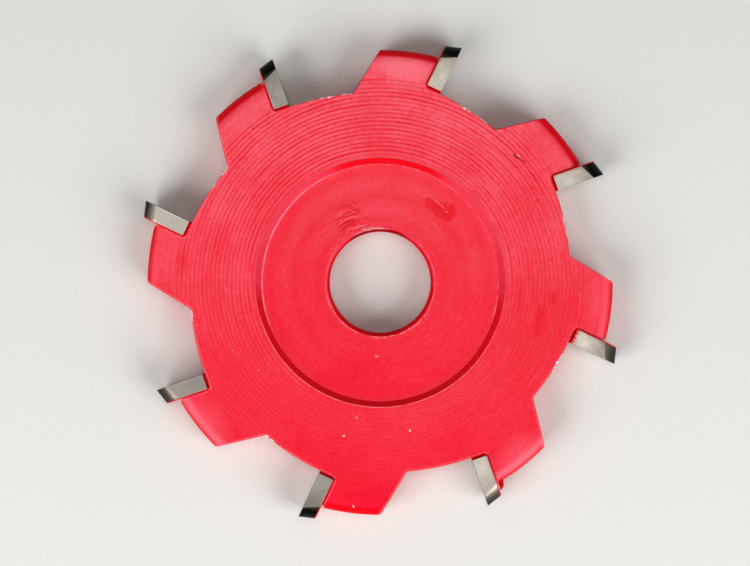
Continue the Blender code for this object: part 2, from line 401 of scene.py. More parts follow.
@dataclass(frozen=True)
class ChipRun:
    """Stretch of a gullet's edge where the paint has chipped off.

    Its middle and half its length are angles about the bore in degrees, and its reach
    onto the face is in millimetres.
    """

    heading: float
    spread: float
    reach: float


CHIP_RUNS = (
    ChipRun(17.0, 2.6, 0.45),
    ChipRun(58.2, 2.0, 0.30),
    ChipRun(63.8, 1.8, 0.50),
    ChipRun(100.0, 1.4, 0.50),
    ChipRun(105.8, 2.0, 0.50),
    ChipRun(110.8, 1.0, 0.35),
    ChipRun(144.5, 1.5, 0.45),
    ChipRun(149.7, 1.4, 0.42),
    ChipRun(190.4, 1.6, 0.42),
    ChipRun(234.6, 1.4, 0.30),
    ChipRun(335.8, 2.4, 0.45),
)


class PaintSurface(Surface):
    """Paint under construction, with what its masks read at each place.

    Those are the object coordinates, the way from the bore's axis, how far a face lies
    flat, and noises for tool marks, clouds, orange peel and grit.
    """

    def __init__(self, enamel: "SatinEnamel") -> None:
        """Add the nodes for place, slope and noise.

        Args:
            enamel: Sizes of the pattern.
        """
        super().__init__("satin red enamel over turned steel")
        self.where = self.add("TexCoord", out="Object")
        plan = self.add("VectorMath", [self.where, (1.0, 1.0, 0.0)], operation="MULTIPLY")
        self.radius = self.add("VectorMath", [plan], "Value", operation="LENGTH")
        self.around = self.add("VectorMath", [plan], operation="NORMALIZE")

        # Below the middle plane both are moved a metre away, so the upper face's wear ends there
        _, self.along, height = self.add("SeparateXYZ", [self.where]).node.outputs
        self.below = self.add("Math", [height, SIZES.middle_height * MM], operation="LESS_THAN")
        self.radius_above = self.add("Math", [self.radius, self.below], operation="ADD")
        aside = self.add("CombineXYZ", [self.below])
        self.plan_above = self.add("VectorMath", [plan, aside], operation="ADD")

        # Tool marks run round the bore: fine across the radius, long along the turn
        finely = (0.0, 0.0, 1.0 / (enamel.streak_pitch * MM))
        climb = self.add("VectorMath", {0: finely, "Scale": self.radius}, operation="SCALE")
        slowly = (enamel.streak_turns, enamel.streak_turns, 0.0)
        turning = self.add("VectorMath", [self.around, slowly, climb], operation="MULTIPLY_ADD")
        self.streaks = self.add("TexNoise", [turning, None, 1.0, 3.0, 0.65])
        self.clouds, self.peel, self.grain = [
            self.add("TexNoise", [self.where, None, 1.0 / (size * MM), detail])
            for size, detail in ((enamel.cloud_size, 4.0), (enamel.peel_size, 2.0), (enamel.grain_size, 2.0))]

        facing = self.add("Attribute", out="Fac", attribute_name="facing_up")
        self.flatness = self.add("MapRange", [facing, enamel.steep_facing, enamel.flat_facing],
                                 interpolation_type="SMOOTHSTEP")
        self.sloping = self.add("MapRange", [facing, 0.15, 0.5])

    def window(self, heading: float, spread: float, fade: float) -> Socket:
        """Find the directions that lie within a spread of a heading.

        Args:
            heading: Middle direction in degrees.
            spread: Degrees on either side that are inside.
            fade: Degrees over which it fades beyond them.

        Returns:
            Socket that is 1 inside and 0 outside.
        """
        middle = math.radians(heading)
        towards = self.add("VectorMath", [self.around, (math.cos(middle), math.sin(middle), 0.0)], "Value",
                           operation="DOT_PRODUCT")
        ends = [math.cos(math.radians(angle)) for angle in (min(spread + fade, 180.0), spread)]
        return self.add("MapRange", [towards, *ends], interpolation_type="SMOOTHSTEP")


@dataclass(frozen=True)
class SatinEnamel:
    """Satin red enamel, sprayed and stoved over turned steel.

    The paint is a clean saturated red. Pale dry overspray lies on the faces that lie flat,
    together with a painted sheen, and softens their red, more of it towards +Y and on the
    teeth, while tool marks and scuffed places stay clean and walls and roundings take a deeper
    red as painted shade. A painted highlight runs along the milled edges that face -Y, and the
    paint has chipped to bare steel along the gullets.
    """

    # Pale colour of the overspray, also used for the painted sheen and the painted edge highlight
    overspray_and_sheen: str = "#FC707E"
    clean: str = "#EC0028"
    # Deeper red of walls and roundings, a painted shade
    deep: str = "#DE0012"
    steel: str = "#EEE4E0"
    roughness: float = 0.24
    specular: float = 0.09
    bare_metallic: float = 0.35
    bump_height: float = 0.035
    flat_facing: float = 0.993
    steep_facing: float = 0.93
    dust_and_sheen_below: float = 0.02
    dust_and_sheen_above: float = 0.42
    dust_and_sheen_reach: float = 60.0
    dust_and_sheen_fade: float = 0.8
    recess_dust_and_sheen: float = 0.75
    ridge_dust_and_sheen: float = 1.5
    tooth_share: float = 0.8
    ridge_valley_share: float = 0.62
    recess_valley_share: float = 0.58
    # Width and heading of the painted highlight along the milled edges
    edge_highlight_width: float = 0.34
    edge_highlight_heading: float = 235.0
    streak_pitch: float = 0.38
    streak_turns: float = 5.0
    cloud_size: float = 13.0
    peel_size: float = 1.1
    grain_size: float = 0.42
    fray_size: float = 0.8
    chip_size: float = 0.36

    def material(self) -> Material:
        """Build the paint's material.

        Returns:
            The finished material.
        """
        paint = PaintSurface(self)
        dust_and_sheen = self._dust_and_sheen(paint)
        # Painted shade: sloped faces take the deep red, flat faces the clean red
        colour = paint.add("Mix", {0: paint.flatness, 6: linear(self.deep), 7: linear(self.clean)}, 2,
                           data_type="RGBA")
        # Overspray with painted sheen, then the painted highlight on the milled edges, both in the pale
        # colour
        for share in (dust_and_sheen, self._edge_highlight(paint)):
            colour = paint.add("Mix", {0: share, 6: colour, 7: linear(self.overspray_and_sheen)}, 2, data_type="RGBA")
        colour, marks = self._marked(paint, colour)
        colour = self._light_and_wear_rings(paint, colour)
        chips = self._chips(paint)
        bare = paint.add("Math", [chips, marks], operation="MAXIMUM")

        # The skin's height: fine tool marks, orange peel and grit, and the step at each chip
        height = paint.add("Math", [chips, -0.6], operation="MULTIPLY")
        for noise, share in ((paint.streaks, 0.5), (paint.peel, 0.4), (paint.grain, 0.35)):
            height = paint.add("Math", [noise, share, height], operation="MULTIPLY_ADD")
        return paint.finish({
            "Base Color": paint.add("Mix", {0: chips, 6: colour, 7: linear(self.steel)}, 2, data_type="RGBA"),
            "Metallic": paint.add("Math", [bare, self.bare_metallic], operation="MULTIPLY"),
            "Roughness": paint.add("MapRange", [
                dust_and_sheen, 0.0, self.dust_and_sheen_above, self.roughness - 0.06, self.roughness + 0.02]),
            "Specular IOR Level": self.specular,
            "Normal": paint.add("Bump", {
                "Height": height, "Strength": 1.0, "Distance": self.bump_height * MM}),
        })

    def _dust_and_sheen(self, paint: PaintSurface) -> Socket:
        """Find how much overspray and painted sheen lie on each place.

        Args:
            paint: The paint under construction.

        Returns:
            Socket that is 0 on clean paint and 1 on pure overspray with full painted sheen.
        """
        # The share rises towards +Y as the painted sheen of the overhead lamp
        factors = [paint.add("MapRange", [
            paint.along, -self.dust_and_sheen_reach * MM, self.dust_and_sheen_reach * MM, self.dust_and_sheen_below, self.dust_and_sheen_above])]
        ridge_end = SIZES.first_crest + (SIZES.ridge_count - 0.5) * SIZES.ridge_pitch
        for start, before, after in ((SIZES.recess_radius, self.recess_dust_and_sheen, self.ridge_dust_and_sheen),
                                     (ridge_end, 1.0, self.tooth_share)):
            ends = (start - self.dust_and_sheen_fade) * MM, (start + self.dust_and_sheen_fade) * MM
            factors.append(paint.add("MapRange", [paint.radius_above, *ends, before, after],
                                     interpolation_type="SMOOTHSTEP"))
        # The valleys of the ridges and rings hold less overspray and painted sheen
        valleys = (("ridge_valley", self.ridge_valley_share), ("recess_valley", self.recess_valley_share))
        for name, share in valleys:
            valley = paint.add("Attribute", out="Fac", attribute_name=name)
            factors.append(paint.add("Math", [valley, -share, 1.0], operation="MULTIPLY_ADD", use_clamp=True))
        noises = ((paint.clouds, 1.6), (paint.streaks, 1.8), (paint.peel, 1.2), (paint.grain, 1.2))
        for noise, swing in noises:
            factors.append(paint.add("Math", [noise, swing, 1.0 - swing / 2], operation="MULTIPLY_ADD"))
        dust_and_sheen_share = paint.flatness
        for factor in factors:
            dust_and_sheen_share = paint.add("Math", [dust_and_sheen_share, factor], operation="MULTIPLY", use_clamp=True)
        return dust_and_sheen_share

    def _edge_highlight(self, paint: PaintSurface) -> Socket:
        """Find the painted highlight, a thin pale line along the milled edges on the -X and -Y sides.

        Args:
            paint: The paint under construction.

        Returns:
            Socket that is about a half on the line and 0 away from it.
        """
        edge = paint.add("Attribute", out="Fac", attribute_name="edge_distance")
        # Painted highlight: a pale line beside each milled edge, kept to the side that faces the lamps
        away = paint.add("Math", [edge, self.edge_highlight_width], operation="SUBTRACT")
        distance = paint.add("Math", [away], operation="ABSOLUTE")
        mask = paint.add("MapRange", [distance, 0.1, self.edge_highlight_width, 0.6, 0.0])
        for factor in (paint.add("MapRange", [paint.grain, 0.35, 0.6]),
                       paint.window(self.edge_highlight_heading, 100.0, 60.0)):
            mask = paint.add("Math", [mask, factor], operation="MULTIPLY")
        return mask

    def _light_and_wear_rings(self, paint: PaintSurface, colour: Socket) -> Socket:
        """Lay the rings of painted highlight, sheen and shade, and of wear, over a colour.

        Args:
            paint: The paint under construction.
            colour: Colour below the lines.

        Returns:
            The colour with the lines on it.
        """
        for seed, line in enumerate(LIGHT_AND_WEAR_RINGS):
            wander = paint.add("TexNoise", [paint.around, 7.0 * seed, 9.0, 5.0, 0.7], noise_dimensions="4D")
            mask = paint.add("MapRange", [wander, 0.62 - line.share * 0.35, 0.78 - line.share * 0.35])
            radius = paint.radius if line.on_wall else paint.radius_above
            away = paint.add("Math", [radius, line.radius * MM], operation="SUBTRACT")
            distance = paint.add("Math", [away], operation="ABSOLUTE")
            factors = [paint.add("MapRange", [
                distance, line.width * 0.15 * MM, line.width * 0.6 * MM, 0.85, 0.0])]
            if not line.on_wall:
                factors.append(paint.sloping)
            if line.spread < 180.0:
                factors.append(paint.window(line.heading, line.spread, 14.0))
            for factor in factors:
                mask = paint.add("Math", [mask, factor], operation="MULTIPLY")
            colour = paint.add("Mix", {0: mask, 6: colour, 7: linear(line.colour)}, 2, data_type="RGBA")
        return colour

    def _marked(self, paint: PaintSurface, colour: Socket) -> tuple[Socket, Socket]:
        """Lay the named marks over a colour.

        Args:
            paint: The paint under construction.
            colour: Colour below the marks.

        Returns:
            The colour with the marks on it, and the mask of the bare ones.
        """
        ragged = paint.add("TexNoise", [paint.plan_above, None, 1.0 / (self.fray_size * MM), 4.0, 0.7])

        # A brushed place is bristled in the hollows of the tool marks, and lifted on their crests
        bristled = paint.add("MapRange", [paint.streaks, 0.45, 0.56, 1.0, 0.0])
        crests = paint.add("MapRange", [paint.streaks, 0.50, 0.60])
        broken = paint.add("MapRange", [ragged, 0.46, 0.60, 0.0, 0.45])
        lifted = paint.add("Math", [crests, broken], operation="MULTIPLY")
        bare: Socket | float = 0.0
        for mark in PAINT_MARKS:
            mask = mark.mask(paint, paint.plan_above, ragged)
            layers = {
                Wear.DUST: [(paint.flatness, Wear.DUST)],
                Wear.BRUSHED: [(bristled, Wear.BRUSHED), (lifted, Wear.STREAK)],
            }.get(mark.wear, [(None, mark.wear)])
            for factor, wear in layers:
                layer = mask if factor is None else paint.add("Math", [mask, factor], operation="MULTIPLY")
                colour = paint.add("Mix", {0: layer, 6: colour, 7: linear(wear.value)}, 2, data_type="RGBA")
            if mark.wear is Wear.BARE:
                bare = paint.add("Math", [bare, mask], operation="MAXIMUM")
        return colour, bare

    def _chips(self, paint: PaintSurface) -> Socket:
        """Find where the paint has chipped off the upper milled edges.

        Args:
            paint: The paint under construction.

        Returns:
            Socket that is 1 on bare steel.
        """
        edge = paint.add("Attribute", out="Fac", attribute_name="edge_distance")
        down = paint.add("Math", [edge, -2.0], operation="MULTIPLY")
        upper = paint.add("Math", [edge, down], operation="MAXIMUM")
        inside = paint.add("Math", [upper, paint.below], operation="ADD")
        reach: Socket | float = 0.0
        for run in CHIP_RUNS:
            window = paint.window(run.heading, run.spread * 0.5, run.spread)
            share = paint.add("Math", [window, run.reach], operation="MULTIPLY")
            reach = paint.add("Math", [reach, share], operation="MAXIMUM")
        ragged = paint.add("TexNoise", [paint.where, None, 1.0 / (self.chip_size * MM), 3.0, 0.6])
        bite = paint.add("MapRange", [ragged, 0.40, 0.62])
        limit = paint.add("Math", [reach, bite], operation="MULTIPLY")
        over = paint.add("Math", [limit, inside], operation="SUBTRACT")
        return paint.add("MapRange", [over, 0.0, 0.03])


class SideTone(Enum):
    """A tip's ground side: its colours at root and crease, a painted reflection that differs from tip to tip,
    and the paint's reach over its root.
    """

    FADING = ("#A9A298", "#8A8276", 0.12)
    COMBED = ("#B0A99E", "#8A8276", 1.25)
    EVEN = ("#AAA298", "#A0988D", 0.10)
    GREY = ("#86817A", "#726C65", 0.10)
    DIM = ("#7E7971", "#8E877D", 0.05)
    RISING = ("#A19A90", "#A79F94", 0.12)


class NoseTone(Enum):
    """How dark the painted reflection on a tip's nose is: its start by the crease, its end, and its run."""

    BLACK = ("#3A342C", "#020202", 0.9)
    GREY = ("#635B52", "#1A1715", 3.0)
    BRIGHT = ("#857C72", "#0E0B09", 3.3)
    PALE = ("#A59C90", "#0A0807", 2.7)
    DULL = ("#6A635A", "#0A0807", 3.2)


@dataclass(frozen=True)
class GroundCarbide:
    """Tungsten carbide, ground flat on a diamond wheel.

    A warm grey metal, clouded where the wheel left it finer or coarser, with faint lines
    across the tip and a few dark pits that hold grime. The lines of the real wheel are
    finer than the render shows, so they are drawn a few times coarser. The body's red paint
    runs over the root in short strokes.
    """

    tone: SideTone
    paint: str = "#E4001A"
    grime_and_shade: str = "#4A443C"
    metallic: float = 0.9
    roughness: float = 0.42
    roughness_swing: float = 0.06
    line_pitch: float = 0.16
    line_angle: float = math.radians(9.0)
    line_height: float = 0.008
    stroke_pitch: float = 0.42
    pit_spacing: float = 0.55
    cloud_size: float = 1.8
    reflection_fade_length: float = 6.0

    def material(self) -> Material:
        """Build the material of the tip's sides.

        Returns:
            The finished material.
        """
        # The fade from root colour to crease colour is a painted reflection, set for each tip
        root, crease, reach = self.tone.value
        side = Surface(f"ground tungsten carbide, {self.tone.name.lower()}")
        chart = side.add("UVMap", uv_map="tip_plan")
        along = side.add("SeparateXYZ", [chart])
        fade = side.add("MapRange", [along, -self.reflection_fade_length, 0.0])
        clouds = side.add("TexNoise", {
            "Vector": chart, "Scale": 1.0 / self.cloud_size, "Detail": 4.0, "Distortion": 0.6})
        shift = side.add("MapRange", [clouds, 0.3, 0.7, -0.3, 0.3])
        place = side.add("Math", [fade, shift], operation="ADD", use_clamp=True)
        ground = side.add("Mix", {0: place, 6: linear(root), 7: linear(crease)}, 2, data_type="RGBA")
        pits = side.add("TexNoise", [chart, None, 1.0 / self.pit_spacing])
        pitted = side.add("MapRange", [pits, 0.66, 0.76, 0.0, 0.7])
        ground = side.add("Mix", {0: pitted, 6: ground, 7: linear(self.grime_and_shade)}, 2, data_type="RGBA")

        # Strokes of paint from the root: each has its own length, and all are narrow
        from_root = side.add("Attribute", out="Fac", attribute_name="root_distance")
        combed = side.add("Mapping", {0: chart, "Scale": (0.25, 1.0 / self.stroke_pitch, 1.0)})
        lengths = side.add("TexNoise", [combed, None, 1.0, 1.0])
        stroke = side.add("MapRange", [lengths, 0.38, 0.66, 0.0, reach])
        short = side.add("Math", [stroke, from_root], operation="SUBTRACT")
        painted = side.add("MapRange", [short, -0.06, 0.06])
        stretched = side.add("Mapping", {
            0: chart, "Rotation": (0.0, 0.0, self.line_angle), "Scale": (1.0 / self.line_pitch, 0.25, 1.0)})
        lines = side.add("TexNoise", [stretched, None, 1.0, 3.0])
        smoothest, roughest = self.roughness - self.roughness_swing, self.roughness + self.roughness_swing
        return side.finish({
            "Base Color": side.add("Mix", {0: painted, 6: ground, 7: linear(self.paint)}, 2,
                                   data_type="RGBA"),
            "Metallic": side.add("MapRange", [painted, 0.0, 1.0, self.metallic, 0.0]),
            "Roughness": side.add("MapRange", [lines, 0.3, 0.7, smoothest, roughest]),
            "Normal": side.add("Bump", {"Height": lines, "Strength": 0.5, "Distance": self.line_height * MM}),
        })


@dataclass(frozen=True)
class PaintedReflectionNose:
    """Rounded nose of the tip, finely ground, with a painted reflection in its colour.

    A dark painted reflection over the carbide: nearly black on some tips, and still bare beside the
    crease on others.
    """

    tone: NoseTone
    roughness: float = 0.34
    specular: float = 0.03
    streak_pitch: float = 0.5
    streak_height: float = 0.01

    def material(self) -> Material:
        """Build the material of the nose.

        Returns:
            The finished material.
        """
        start, end, run = self.tone.value
        nose = Surface(f"carbide nose with painted reflection, {self.tone.name.lower()}")
        chart = nose.add("UVMap", uv_map="tip_plan")
        along, across, _ = nose.add("SeparateXYZ", [chart]).node.outputs
        streaks = nose.add("TexNoise", [chart, None, 1.0 / self.streak_pitch, 3.0])
        # Painted reflection: bare metal by the crease, darkening outwards along a slant
        slant = nose.add("Math", [across, -0.28, along], operation="MULTIPLY_ADD")
        shift = nose.add("Math", [streaks, 0.8, slant], operation="MULTIPLY_ADD")
        fade = nose.add("MapRange", [shift, -0.4, run], interpolation_type="SMOOTHSTEP")
        return nose.finish({
            "Base Color": nose.add("Mix", {0: fade, 6: linear(start), 7: linear(end)}, 2, data_type="RGBA"),
            "Metallic": nose.add("Math", [1.0, fade], operation="SUBTRACT"),
            "Roughness": self.roughness,
            "Specular IOR Level": self.specular,
            "Normal": nose.add("Bump", {
                "Height": streaks, "Strength": 0.3, "Distance": self.streak_height * MM}),
        })


@dataclass(frozen=True)
class LappedRake:
    """Rake face, the finest ground face of the tip, which mirrors more than its sides.

    Its lines lie 0.12 mm apart up the face, and about 120 go to a metre along it.
    """

    colour: str = "#A8A49C"
    shade: str = "#85817A"
    roughness: float = 0.24
    line_pitch: float = 0.12
    lines_along: float = 120.0

    def material(self) -> Material:
        """Build the material of the rake face.

        Returns:
            The finished material.
        """
        rake = Surface("lapped tungsten carbide")
        where = rake.add("TexCoord", out="Object")
        flat = rake.add("Mapping", {
            0: where, "Scale": (self.lines_along, self.lines_along, 1.0 / (self.line_pitch * MM))})
        lines = rake.add("TexNoise", [flat, None, 1.0, 2.0])
        return rake.finish({
            "Base Color": rake.add("Mix", {0: lines, 6: linear(self.colour), 7: linear(self.shade)}, 2,
                                   data_type="RGBA"),
            "Metallic": 1.0,
            "Roughness": rake.add("MapRange", [lines, 0.3, 0.7, self.roughness, self.roughness + 0.1]),
        })


@dataclass(frozen=True)
class PaintedBraze:
    """Silver braze under the same red enamel, lumpy, with painted shade where it sinks beside the tip."""

    bright: str = "#E4081E"
    deep: str = "#BC000E"
    # Painted shade colour where the braze sinks beside the tip
    grime_and_shade: str = "#2A0306"
    roughness: float = 0.4
    specular: float = 0.13
    lump_size: float = 0.7
    lump_height: float = 0.05

    def material(self) -> Material:
        """Build the material of the filled seats.

        Returns:
            The finished material.
        """
        braze = Surface("red enamel over silver braze")
        where = braze.add("TexCoord", out="Object")
        lumps = braze.add("TexNoise", [where, None, 1.0 / (self.lump_size * MM), 3.0])
        red = braze.add("Mix", {0: lumps, 6: linear(self.bright), 7: linear(self.deep)}, 2, data_type="RGBA")
        depth = braze.add("Attribute", out="Fac", attribute_name="gap_depth")
        sunk = braze.add("Math", [lumps, 0.5, depth], operation="MULTIPLY_ADD")
        # Painted shade in the gap, darkest beside the tip
        gap_shade = braze.add("MapRange", [sunk, 0.92, 1.3, 0.0, 0.9])
        return braze.finish({
            "Base Color": braze.add("Mix", {0: gap_shade, 6: red, 7: linear(self.grime_and_shade)}, 2, data_type="RGBA"),
            "Roughness": self.roughness,
            "Specular IOR Level": self.specular,
            "Normal": braze.add("Bump", {
                "Height": lumps, "Strength": 0.6, "Distance": self.lump_height * MM}),
        })


@dataclass(frozen=True)
class PaleCard:
    """Matt pale card that the cutter lies on, with a faint tooth."""

    light: str = "#E4E3E0"
    dark: str = "#DEDDDA"
    roughness: float = 0.9
    specular: float = 0.2
    fibre: float = 1.6

    def material(self) -> Material:
        """Build the floor's material.

        Returns:
            The finished material.
        """
        card = Surface("matt pale card")
        where = card.add("TexCoord", out="Object")
        fibres = card.add("TexNoise", [where, None, 1.0 / (self.fibre * MM), 3.0])
        return card.finish({
            "Base Color": card.add("Mix", {0: fibres, 6: linear(self.light), 7: linear(self.dark)}, 2,
                                   data_type="RGBA"),
            "Roughness": self.roughness,
            "Specular IOR Level": self.specular,
        })


def add_piece(name: str, builder: Builder, materials: Sequence[Material],
              sharp_angle: float | None = None) -> Piece:
    """Make an object at the origin from a finished mesh.

    Args:
        name: Name of the piece.
        builder: Its mesh, in metres in the frame of the solids, which is used up.
        materials: Materials in the order of the faces' indices.
        sharp_angle: Degrees between two faces past which smooth shading breaks; None
            leaves every face flat.

    Returns:
        The new object.
    """
    mesh = bpy.data.meshes.new(name)
    builder.to_mesh(mesh)
    builder.free()
    if sharp_angle is not None:
        mesh.shade_smooth()
        mesh.set_sharp_from_angle(angle=math.radians(sharp_angle))
    for material in materials:
        mesh.materials.append(material)
    piece = bpy.data.objects.new(name, mesh)
    bpy.context.scene.collection.objects.link(piece)
    return piece


def bridge(builder: Builder, rings: Sequence[Ring], closed: bool = True, capped: bool = True) -> None:
    """Join each ring of points to the next by a band of faces.

    Args:
        builder: Mesh under construction.
        rings: Rings with the same number of points.
        closed: Whether each ring's last point joins its first.
        capped: Whether the first and the last ring are filled.
    """
    for one, two in zip(rings[:-1], rings[1:]):
        for index in range(len(one) if closed else len(one) - 1):
            following = (index + 1) % len(one)
            builder.faces.new((one[index], one[following], two[following], two[index]))
    if capped:
        builder.faces.new(rings[0])
        builder.faces.new(rings[-1])


class FormTree(Tree):
    """Geometry Nodes tree with named inputs, the last of them its material."""

    def __init__(self, name: str, inputs: dict[str, str]) -> None:
        """Start a tree.

        Args:
            name: Name of the tree.
            inputs: Kind of each input by its name, without the geometry and the material.
        """
        super().__init__(bpy.data.node_groups.new(name, "GeometryNodeTree"))
        self.tree.is_modifier = True
        for label, kind in {"Geometry": "Geometry", **inputs, "Material": "Material"}.items():
            self.tree.interface.new_socket(label, in_out="INPUT", socket_type=f"NodeSocket{kind}")
        self.tree.interface.new_socket("Geometry", in_out="OUTPUT", socket_type="NodeSocketGeometry")
        self.given = self.add("NodeGroupInput").node.outputs

    def close(self, geometry: Socket) -> None:
        """End the tree in Realize Instances and Set Material.

        Args:
            geometry: Geometry to hand on.
        """
        real = self.add("GeometryNodeRealizeInstances", [geometry])
        dressed = self.add("GeometryNodeSetMaterial", {"Geometry": real, "Material": self.given["Material"]})
        self.add("NodeGroupOutput", [dressed])

    def apply(self, piece: Piece, values: dict[str, Any]) -> None:
        """Run the tree on a piece and keep its result as the piece's plain mesh.

        Args:
            piece: Piece that the tree works on, with its material in the first slot.
            values: Value of each input by its name.
        """
        modifier = piece.modifiers.new(self.tree.name, "NODES")
        modifier.node_group = self.tree
        sockets = {item.name: item for item in self.tree.interface.items_tree if item.in_out == "INPUT"}
        for name, value in {**values, "Material": piece.data.materials[0]}.items():
            modifier[sockets[name].identifier] = value
        depsgraph = bpy.context.evaluated_depsgraph_get()
        made = bpy.data.meshes.new_from_object(
            piece.evaluated_get(depsgraph), preserve_all_data_layers=True, depsgraph=depsgraph)
        old = piece.data
        piece.modifiers.remove(modifier)
        piece.data = made
        made.name = piece.name
        bpy.data.meshes.remove(old)


def polar(radius: float, angle: float) -> Vector:
    """Point of the plan at a radius and an angle."""
    return Vector((radius * math.cos(angle), radius * math.sin(angle)))


def angle_of(vector: Vector) -> float:
    """Direction of a plan vector."""
    return math.atan2(vector.y, vector.x)


def turn(start: float, end: float) -> float:
    """The angle nearest to start that has the direction of end."""
    return start + (end - start + math.pi) % math.tau - math.pi


def arc(centre: Vector, radius: float, start: float, end: float, steps: int) -> list[Vector]:
    """Points of an arc, both ends included."""
    return [centre + polar(radius, start + (end - start) * i / steps) for i in range(steps + 1)]


def straight(start: Vector, end: Vector, spacing: float) -> list[Vector]:
    """Evenly spaced points of a straight run, both ends included."""
    steps = max(round((end - start).length / spacing), 1)
    return [start.lerp(end, i / steps) for i in range(steps + 1)]


@dataclass(frozen=True)
class Blend:
    """Fillet between a straight run and a circle."""

    middle: Vector
    on_line: Vector
    on_circle: Vector
    radius: float

    @classmethod
    def between(cls, point: Vector, direction: Vector, side: Vector, centre: Vector, radius: float,
                blend: float, outside: bool, near: Vector) -> "Blend":
        """Fit a fillet between a line and a circle.

        Args:
            point: Point of the line.
            direction: Unit direction of the line.
            side: Unit normal of the line, towards the fillet's centre.
            centre: Centre of the circle.
            radius: Radius of the circle.
            blend: Radius of the fillet.
            outside: Whether the fillet lies outside the circle.
            near: Place that the fillet lies next to.

        Returns:
            The fillet.
        """
        start = point + side * blend
        foot = start + direction * (centre - start).dot(direction)
        reach = radius + blend if outside else radius - blend
        along = direction * math.sqrt(max(reach ** 2 - (foot - centre).length_squared, 0.0))
        middle = min((foot + along, foot - along), key=lambda crossing: (crossing - near).length)
        return cls(middle, middle - side * blend, centre + (middle - centre).normalized() * radius, blend)

    def points(self, from_line: bool, steps: int) -> list[Vector]:
        """Trace the fillet.

        Args:
            from_line: Whether it starts on its line, and not on its circle.
            steps: Number of steps along it.

        Returns:
            Its points, both ends included.
        """
        first, last = (self.on_line, self.on_circle) if from_line else (self.on_circle, self.on_line)
        start = angle_of(first - self.middle)
        return arc(self.middle, self.radius, start, turn(start, angle_of(last - self.middle)), steps)


